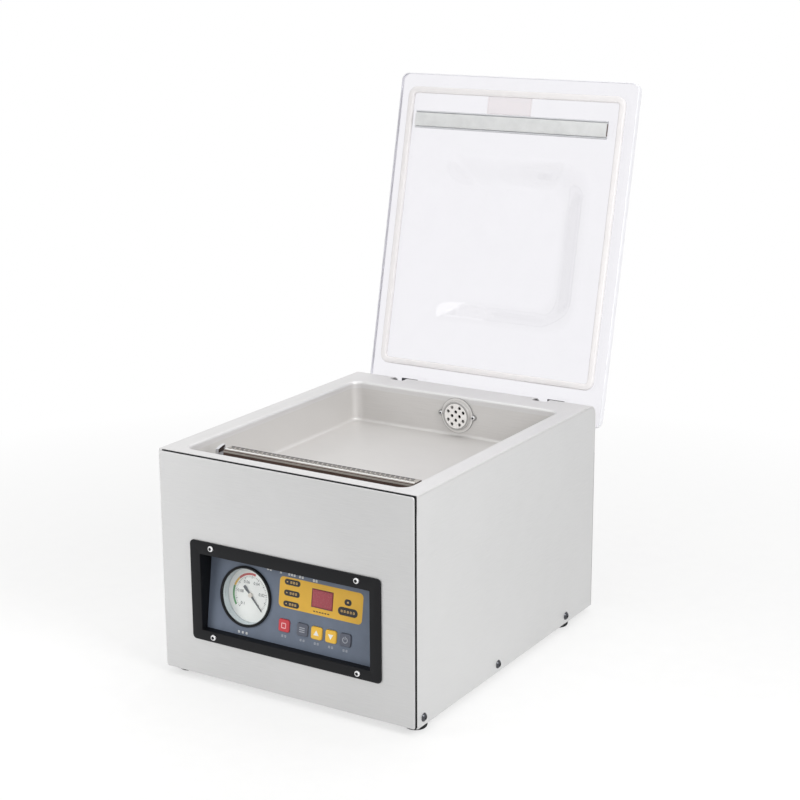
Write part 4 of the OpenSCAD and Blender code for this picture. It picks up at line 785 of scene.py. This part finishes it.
class SEALER_OT_bezel(bpy.types.Operator):
    """Bezel: a frame whose outer edge is a quarter round, carried on into the window's tunnel"""
    bl_idname = "sealer.bezel"
    bl_label = "Panel bezel"

    def execute(self, context):
        e = context.scene.sealer_sizes.bezel_edge / MM
        thick, deep, lift, soft = 2.0, 26.0, WINDOW_Z - BEZEL_Z, 0.4
        window, outer, tunnel = (220.0, 89.0), (247.0, 116.0), (224.0, 93.0)
        rows = [(*tunnel, 0.5, -deep, 0, lift), (*tunnel, 0.5, 0, 0, lift), (*outer, 5.0, 0, 0, 0)]
        for t in np.radians(np.linspace(0, 90, 6)):
            s, z = e * (1 - cos(t)), thick - e + e * sin(t)
            rows.append((outer[0] - 2 * s, outer[1] - 2 * s, 5 - s, z, 0, 0))
        for t in np.radians(np.linspace(0, 90, 4)):
            s, z = soft * (1 - sin(t)), thick - soft + soft * cos(t)
            rows.append((window[0] + 2 * s, window[1] + 2 * s, 0.5 + s, z, 0, lift))
        rows.append((*window, 0.5, -deep, 0, lift))
        front = stood(skin(rings(rows, 6), wrap=True), BEZEL_Y, BEZEL_Z)
        rails = [on_panel(slab(2, 40.5, -4.5, -2.05, x, 43.5)) for x in (-108, 108)]
        piece("bezel", joined(front, *rails), "black_plastic", "chassis",
              ("panel_bezel",))
        return {"FINISHED"}


class SEALER_OT_screws(bpy.types.Operator):
    """Button screws: a turned head, rounded by a bend, with a six-sided socket of reach
    r cos 30 / cos t from its middle, t from the middle of each side"""
    bl_idname = "sealer.screws"
    bl_label = "Button screws"

    def execute(self, context):
        steps, sixth = 48, np.pi / 3
        t = np.arange(steps) * 2 * np.pi / steps
        reach = 2.0 * cos(sixth / 2) / np.cos(t % sixth - sixth / 2)
        head = [(1.6, -3.4), (1.6, 0.0), (3.3, 0.0), (3.3, 0.7), *bend(0, 70, (2.1, 0.7), 1.2)]
        socket = np.stack([np.column_stack([reach * np.cos(t), reach * np.sin(t),
                                            np.full(steps, h)]) for h in (1.9, 0.7)])
        points, faces = skin(np.concatenate([circles(head, steps), socket]))
        # painted shade: the socket's walls and floor take dark print, for the shade inside the
        # socket
        dark = np.zeros(len(faces), int)
        dark[-2 - steps:-2] = dark[-1] = 1
        port_x, port_y, port_z = PORT
        across = 22.5
        spots = [(x, BEZEL_Y - 2.0, z, 1, 1) for x in (-94.5, 94.5) for z in (57.0, 160.6)]
        spots += [(port_x + across * cos(a), port_y, port_z + across * sin(a), 1, 0.75)
                  for a in np.radians((178, 0))]
        spots += [(x, 225.5, z, -1, 1) for x in (-153, 0, 153) for z in (17.0, 211.0)]
        spots += [(x, 228.5, 42.0, -1, 1) for x in (-138, -98)]
        made = []
        for x, y, z, side, size in spots:
            p = points * (size, size, 1.0)
            made.append((np.column_stack([x + side * p[:, 0], y - side * p[:, 2], z + p[:, 1]]),
                         faces))
        piece("button_heads", joined(*made), ("bright_screw", "dark_print"), "chassis",
              ("button_screws",), pick=np.tile(dark, len(made)))
        return {"FINISHED"}


FOOT_R = 13.0


class SEALER_OT_feet(bpy.types.Operator):
    """Feet: a turned rubber with a quarter-round lower edge and a neck held by the base"""
    bl_idname = "sealer.feet"
    bl_label = "Rubber feet"

    def execute(self, context):
        r = context.scene.sealer_sizes.foot_round / MM
        profile = [(3.2, 0.5), (3.7, 0.0), *bend(-90, 90, (12.5 - r, r), r, 8), (FOOT_R, 8.0),
                   (7.7, 8.0), (7.7, 9.3), (10.0, 9.3), (10.0, 11.7), (3.2, 11.7)]
        foot = turned(profile, 72, True)
        low, high = node_box("feet")
        made = [moved(foot, x, y) for x in (low[0] + FOOT_R, high[0] - FOOT_R)
                for y in (low[1] + FOOT_R, high[1] - FOOT_R)]
        piece("foot_rubbers", joined(*made), "black_rubber", "chassis", ("feet",))
        return {"FINISHED"}


LAMP_ROWS = (70.9, 58.9, 46.8)
KEY_ROW = 22.4
KEY_COLUMNS = (-7, 17, 35.4, 53.8, 72.2)


class SEALER_OT_panel_print(bpy.types.Operator):
    """Printed film of the control panel: field, lamp windows, marks, each a thin raised shape"""
    bl_idname = "sealer.panel_print"
    bl_label = "Panel print"

    def execute(self, context):
        t = context.scene.sealer_sizes.print_step / MM
        round_lamp, long_lamp = (71.8, 62.9), (72.3, 52.6)
        field = hollow((107, 34, 5), (27.6, 20.6, 0.6, 2.4, 0.8), 0, t, 6)
        piece("yellow_field", on_panel(field, 37, 59), "field_yellow", "chassis")
        lamps = [((20.6, 6.5, 3.2), (0, v)) for v in LAMP_ROWS]
        lamps += [((9, 7, 3.4), round_lamp), ((25, 9, 4.4), long_lamp)]
        dark = [on_panel(soft_block(*size, t, 2 * t, t, 6), *spot) for size, spot in lamps]
        dark += [on_panel(soft_block(2.4, 1.2, 0.3, t, 2 * t, t / 2, 2), x, 45.4)
                 for x in np.arange(30, 51, 3.6)]
        piece("lamp_windows", joined(*dark), "dark_print", "chassis")
        sign = joined(hollow((2.3, 2.5, 0.3), (1.3, 1.5, 0.2), 0, t, 2),
                      soft_block(0.5, 1.5, 0.1, 0, t, t / 2, 2))
        warm = [on_panel(sign, x, v, 2 * t) for v in LAMP_ROWS for x in (-1.6, 1.8, 5.4)]
        warm += [on_panel(sign, x, long_lamp[1], 2 * t) for x in (64.6, 68.4, 72.3, 76.2, 80)]
        warm += [on_panel(soft_block(1.8, 1.4, 0.6, 2 * t, 3 * t, t / 2, 4), -6.6, v)
                 for v in LAMP_ROWS]
        warm.append(on_panel(soft_block(2.4, 2.0, 0.9, 2 * t, 3 * t, t / 2, 4), *round_lamp))
        piece("warm_marks", joined(*warm), "warm_print", "chassis")
        under_keys = [(x + d, 10.6) for x in KEY_COLUMNS for d in (-1.9, 1.9)]
        under_gauge = [(-61.4 + d, 3.6) for d in (-5.2, 0, 5.2)]
        top_line = [(x, 80.2 - 0.03 * (x + 34))
                    for x in (-33, -29.5, -16, -5, -1.5, 2, 9, 12.5, 27, 30.5)]
        pale = [on_panel(sign, x, v) for x, v in under_keys + under_gauge + top_line]
        per_sign = len(sign[1])
        dim = np.arange(per_sign * len(pale)) < per_sign * len(under_keys)
        piece("pale_marks", joined(*pale), ("white_print", "soft_sign"), "chassis",
              pick=dim)
        return {"FINISHED"}


class SEALER_OT_display(bpy.types.Operator):
    """Display: a tinted window with a soft edge, a dark border and a faint grid of bars"""
    bl_idname = "sealer.display"
    bl_label = "Display window"

    def execute(self, context):
        at, low, line = {"x": 39.4, "v": 59.8}, 0.36, 0.08
        piece("window", on_panel(soft_block(26.6, 19.6, 0.6, -14, 0.4, 0.2, 3), **at),
              "red_window", "chassis", ("display_window",))
        parts = [hollow((26.4, 19.4, 0.6), (24.6, 17.6, 0.4), low, 0.46, 3)]
        parts += [slab(12.3, line, low, 0.43, 0, y) for y in np.linspace(-7.2, 7.2, 9)]
        parts += [slab(line, 8.7, low, 0.44, x, 0) for x in np.linspace(-10.5, 10.5, 12)]
        piece("window_grid", on_panel(joined(*parts), **at), "segment_red", "chassis")
        return {"FINISHED"}


DIAL_W = -9.5
SCALE_START, SCALE_END = 225, -45  # degrees from the right, counter-clockwise


def on_gauge(shell, w=0.0):
    """A shape about the gauge's axis, set w out of the panel."""
    return on_panel(shell, -59.9, 44.2, w)


class SEALER_OT_gauge(bpy.types.Operator):
    """Gauge: turned ring, silver well, printed dial with arcs, ticks and numbers, needle and
    lens, each a profile turned about the gauge's axis or a flat shape on it"""
    bl_idname = "sealer.gauge"
    bl_label = "Vacuum gauge"

    def execute(self, context):
        turns = 96
        ring = [(31.0, 0.0), (34.0, 0.0), (34.0, 1.5), *bend(0, 90, (33.0, 1.5), 1.0),
                *bend(90, 60, (31.9, 1.7), 0.8), (31.1, 1.4)]
        piece("gauge_rim", on_gauge(turned(ring, turns, True)), "black_plastic", "chassis",
              ("gauge_ring",))
        dial = turned([(2.0, -0.8), (30.4, -0.8), (30.4, 0.0), (2.0, 0.0)], turns, True)
        piece("dial", on_gauge(dial, DIAL_W), "white_dial", "chassis",
              ("gauge_dial",))
        for start, end, tone in ((216, 162, "green"), (161.5, 135, "amber"), (134.5, 78, "red")):
            piece("arc_" + tone, on_gauge(band(24.6, 2.5, end, start, -0.02, 0.05), DIAL_W),
                  tone + "_print", "chassis")
        marks = [tick(a, 19.6 if k % 5 else 18.7, 21.4, 0.34 if k % 5 else 0.6, -0.02, 0.06)
                 for k, a in enumerate(np.linspace(SCALE_START, SCALE_END, 51))]
        words = ("0.1", "0.08", "0.06", "0.04", "0.02", "0")
        angles = np.radians(np.linspace(SCALE_START, SCALE_END, len(words)))
        marks += [moved(lettered(word, 4.8, -0.02, 0.06), 14.4 * cos(a), 15.2 * sin(a))
                  for word, a in zip(words, angles)]
        piece("dial_marks", on_gauge(joined(*marks), DIAL_W), "dark_print", "chassis",
              sharp=30)
        a = radians(SCALE_END)
        half = np.array([(-13, -1.5), (-9, -1.7), (-4, -0.9), (0, -1.0), (22.5, -0.35)])
        shape = np.concatenate([half, half[::-1] * (1, -1)])
        blade = prism(shape @ np.array([[cos(a), sin(a)], [-sin(a), cos(a)]]), 0.8, 1.4)
        hub = turned([(0.3, 0.2), (2.6, 0.2), (2.6, 2.2), (2.2, 2.6), (0.3, 2.7)], 40)
        shaft = turned([(0.9, -7.5), (0.9, 0.9)], 24)
        pale = np.arange(len(blade[1]) + len(hub[1]) + len(shaft[1])) >= len(blade[1])
        piece("needle", on_gauge(joined(blade, hub, shaft), DIAL_W), ("grey_needle", "hub_cap"),
              "needle", ("gauge_needle",), pick=pale)
        well = [(31.0, -0.2), (31.0, -9.4), (30.5, -9.4), (30.5, -7.0), (30.8, -6.8), (30.8, -4.2),
                (30.4, -4.0), (30.4, -1.6), (30.8, -1.3), (30.8, -0.2)]
        piece("gauge_wall", on_gauge(turned(well[::-1], turns, True)), "well_silver", "chassis")
        lens = turned([(0.4, 0.1), (31.6, 0.1), (31.6, 1.2), (0.4, 1.28)], turns)
        piece("lens", on_gauge(lens), "clear_lens", "chassis", ("gauge_lens",))
        return {"FINISHED"}


class SEALER_OT_keys(bpy.types.Operator):
    """Keys: blocks with a quarter-round edge, each with its sign"""
    bl_idname = "sealer.keys"
    bl_label = "Keys"

    def execute(self, context):
        e = context.scene.sealer_sizes.key_edge / MM
        top, thick = 1.6, 0.1
        arrow = np.array([(-3.4, -2.4), (3.4, -2.4), (0, 3.2)])
        bars = [soft_block(7, 1.0, 0.3, 0, thick, 0.05, 2, 0, y) for y in (-2.2, 0, 2.2)]
        stroke = soft_block(0.9, 3.6, 0.3, 0, thick, 0.05, 2, 0, 2.2)
        keys = (
            ("stop_key", "red_key", "rose_sign",
             hollow((6.2, 6.2, 1.2), (4.4, 4.4, 0.5), 0, thick, 4)),
            ("mode_key", "grey_key", "soft_sign", joined(*bars)),
            ("up_key", "yellow_key", "white_print", prism(arrow, 0, thick)),
            ("down_key", "yellow_key", "white_print", prism(arrow[::-1] * (1, -1), 0, thick)),
            ("start_key", "grey_key", "soft_sign",
             joined(band(3.4, 0.9, 120, 420, 0, thick), stroke)),
        )
        cap = soft_block(14, 14, 2.5, -2.2, top, e, 6)
        flange = soft_block(16, 16, 2.5, -3.2, -2.2, 0.3, 6)
        stem = turned([(1.5, -8.0), (1.5, -3.2)], 24)
        for (name, kind, ink, sign), x in zip(keys, KEY_COLUMNS):
            piece(name + "_cap", on_panel(joined(cap, flange, stem), x, KEY_ROW), kind, name,
                  (name,))
            piece(name + "_sign", on_panel(sign, x, KEY_ROW, top - 0.02), ink, name)
        return {"FINISHED"}


# ---------------------------------------------------------------- stage

class SEALER_OT_stage(bpy.types.Operator):
    """Pale floor, white surroundings, soft lamps and the camera"""
    bl_idname = "sealer.stage"
    bl_label = "Floor, lamps and camera"

    def execute(self, context):
        scene = context.scene
        scene.view_settings.view_transform = "Standard"
        floor = Finish("pale_floor")
        level = floor.spread(floor.noise(40), 0.0, 1.0)
        tone = floor.tint(level, linear("#f0f0ef"), linear("#f4f4f3"))
        floor.join(tone, MIX_OUT, floor.shader, "Base Color")
        floor.shader.inputs["Roughness"].default_value = 0.9
        away = floor.add("ShaderNodeVectorMath", operation="LENGTH")
        floor.join(floor.place(), 0, away, 0)
        share = floor.add("ShaderNodeMath", operation="MULTIPLY")
        floor.join(floor.looked_at(), 0, share, 0)
        floor.join(floor.spread(away, 0.62, 1.0, "Value", 0.35, 1.1), 0, share, 1)
        floor.instead(share, 0, floor.add("ShaderNodeEmission", Color=WHITE, Strength=1.0))
        cells, reach = 8, 6
        side = np.linspace(-reach, reach, cells + 1)
        x, y = np.meshgrid(side, side)
        i, j = np.meshgrid(np.arange(cells), np.arange(cells), indexing="ij")
        first = i * (cells + 1) + j
        quads = np.stack([first, first + 1, first + cells + 2, first + cells + 1], -1)
        mesh = bpy.data.meshes.new("floor")
        mesh.from_pydata(np.stack([x, y, 0 * x], -1).reshape(-1, 3).tolist(), [],
                         quads.reshape(-1, 4).tolist())
        mesh.materials.append(floor.made)
        ground = bpy.data.objects.new("floor", mesh)
        scene.collection.objects.link(ground)

        sky = Finish("studio", "worlds", "Background", "OutputWorld")
        sky.shader.inputs["Color"].default_value = WHITE
        sky.shader.inputs["Strength"].default_value = 0.42
        sky.instead(sky.looked_at(), 0, sky.add("ShaderNodeBackground", Color=WHITE))
        scene.world = sky.made

        aim = Vector((0, 0, 0.18))
        for name, place, size, watts in (("near_front", (-0.5, -0.62, 0.36), 0.35, 2.2),
                                         ("near_side", (0.62, -0.3, 0.6), 0.35, 1.3),
                                         ("side", (1.4, -0.4, 0.95), 0.8, 9),
                                         ("top", (0.1, 0.4, 2.2), 1.6, 16.5)):
            lamp = bpy.data.lights.new(name, "AREA")
            lamp.shape, lamp.size, lamp.energy = "SQUARE", size, watts
            holder = bpy.data.objects.new(name, lamp)
            holder.location = place
            holder.rotation_euler = (aim - Vector(place)).to_track_quat("-Z", "Y").to_euler()
            holder.visible_camera = False
            holder.visible_glossy = holder.visible_transmission = not name.startswith("near")
            scene.collection.objects.link(holder)

        # the camera looks along -back at the target, with a slight roll about that line
        turn, rise, roll = radians(31.777), radians(15.013), radians(-0.299)
        target, distance = Vector((0.14747, -0.1885, 0.36087)), 1.7839
        sensor, focal = 36.0, 1799.35 / 800
        back = Vector((sin(turn) * cos(rise), -cos(turn) * cos(rise), sin(rise)))
        right = (-back).cross(Vector((0, 0, 1))).normalized()
        axes = Matrix((right, right.cross(-back), back)).transposed()
        rolled = (axes @ Matrix.Rotation(roll, 3, "Z")).to_4x4()
        lens = bpy.data.cameras.new("camera")
        lens.sensor_width, lens.lens = sensor, sensor * focal
        view = bpy.data.objects.new("camera", lens)
        view.matrix_world = Matrix.Translation(target + back * distance) @ rolled
        scene.collection.objects.link(view)
        scene.camera = view
        return {"FINISHED"}


ORDER = (SEALER_OT_carried_parts, SEALER_OT_lid, SEALER_OT_lid_gasket, SEALER_OT_lid_pad,
         SEALER_OT_sealing_bar, SEALER_OT_feet, SEALER_OT_bezel, SEALER_OT_screws,
         SEALER_OT_panel_print, SEALER_OT_display, SEALER_OT_gauge, SEALER_OT_keys,
         SEALER_OT_stage)


class SEALER_PT_pieces(bpy.types.Panel):
    """Lists the pieces, sizes and colours"""
    bl_idname = "SEALER_PT_pieces"
    bl_label = "Chamber vacuum sealer"
    bl_space_type = "VIEW_3D"
    bl_region_type = "UI"
    bl_category = "Sealer"

    def draw(self, context):
        for group in (context.scene.sealer_sizes, context.scene.sealer_colours):
            for key in group.__annotations__:
                self.layout.prop(group, key)
        for step in ORDER:
            self.layout.operator(step.bl_idname)


CLASSES = (SealerSizes, SealerColours) + ORDER + (SEALER_PT_pieces,)


def register():
    """Registers the classes and hangs the two groups on the scene."""
    for kind in CLASSES:
        bpy.utils.register_class(kind)
    bpy.types.Scene.sealer_sizes = bpy.props.PointerProperty(type=SealerSizes)
    bpy.types.Scene.sealer_colours = bpy.props.PointerProperty(type=SealerColours)


def unregister():
    """Takes the groups and the classes away again."""
    del bpy.types.Scene.sealer_colours
    del bpy.types.Scene.sealer_sizes
    for kind in reversed(CLASSES):
        bpy.utils.unregister_class(kind)


def main():
    """Makes everything in order."""
    register()
    for step in ORDER:
        group, action = step.bl_idname.split(".")
        getattr(getattr(bpy.ops, group), action)()


if __name__ == "__main__":
    main()
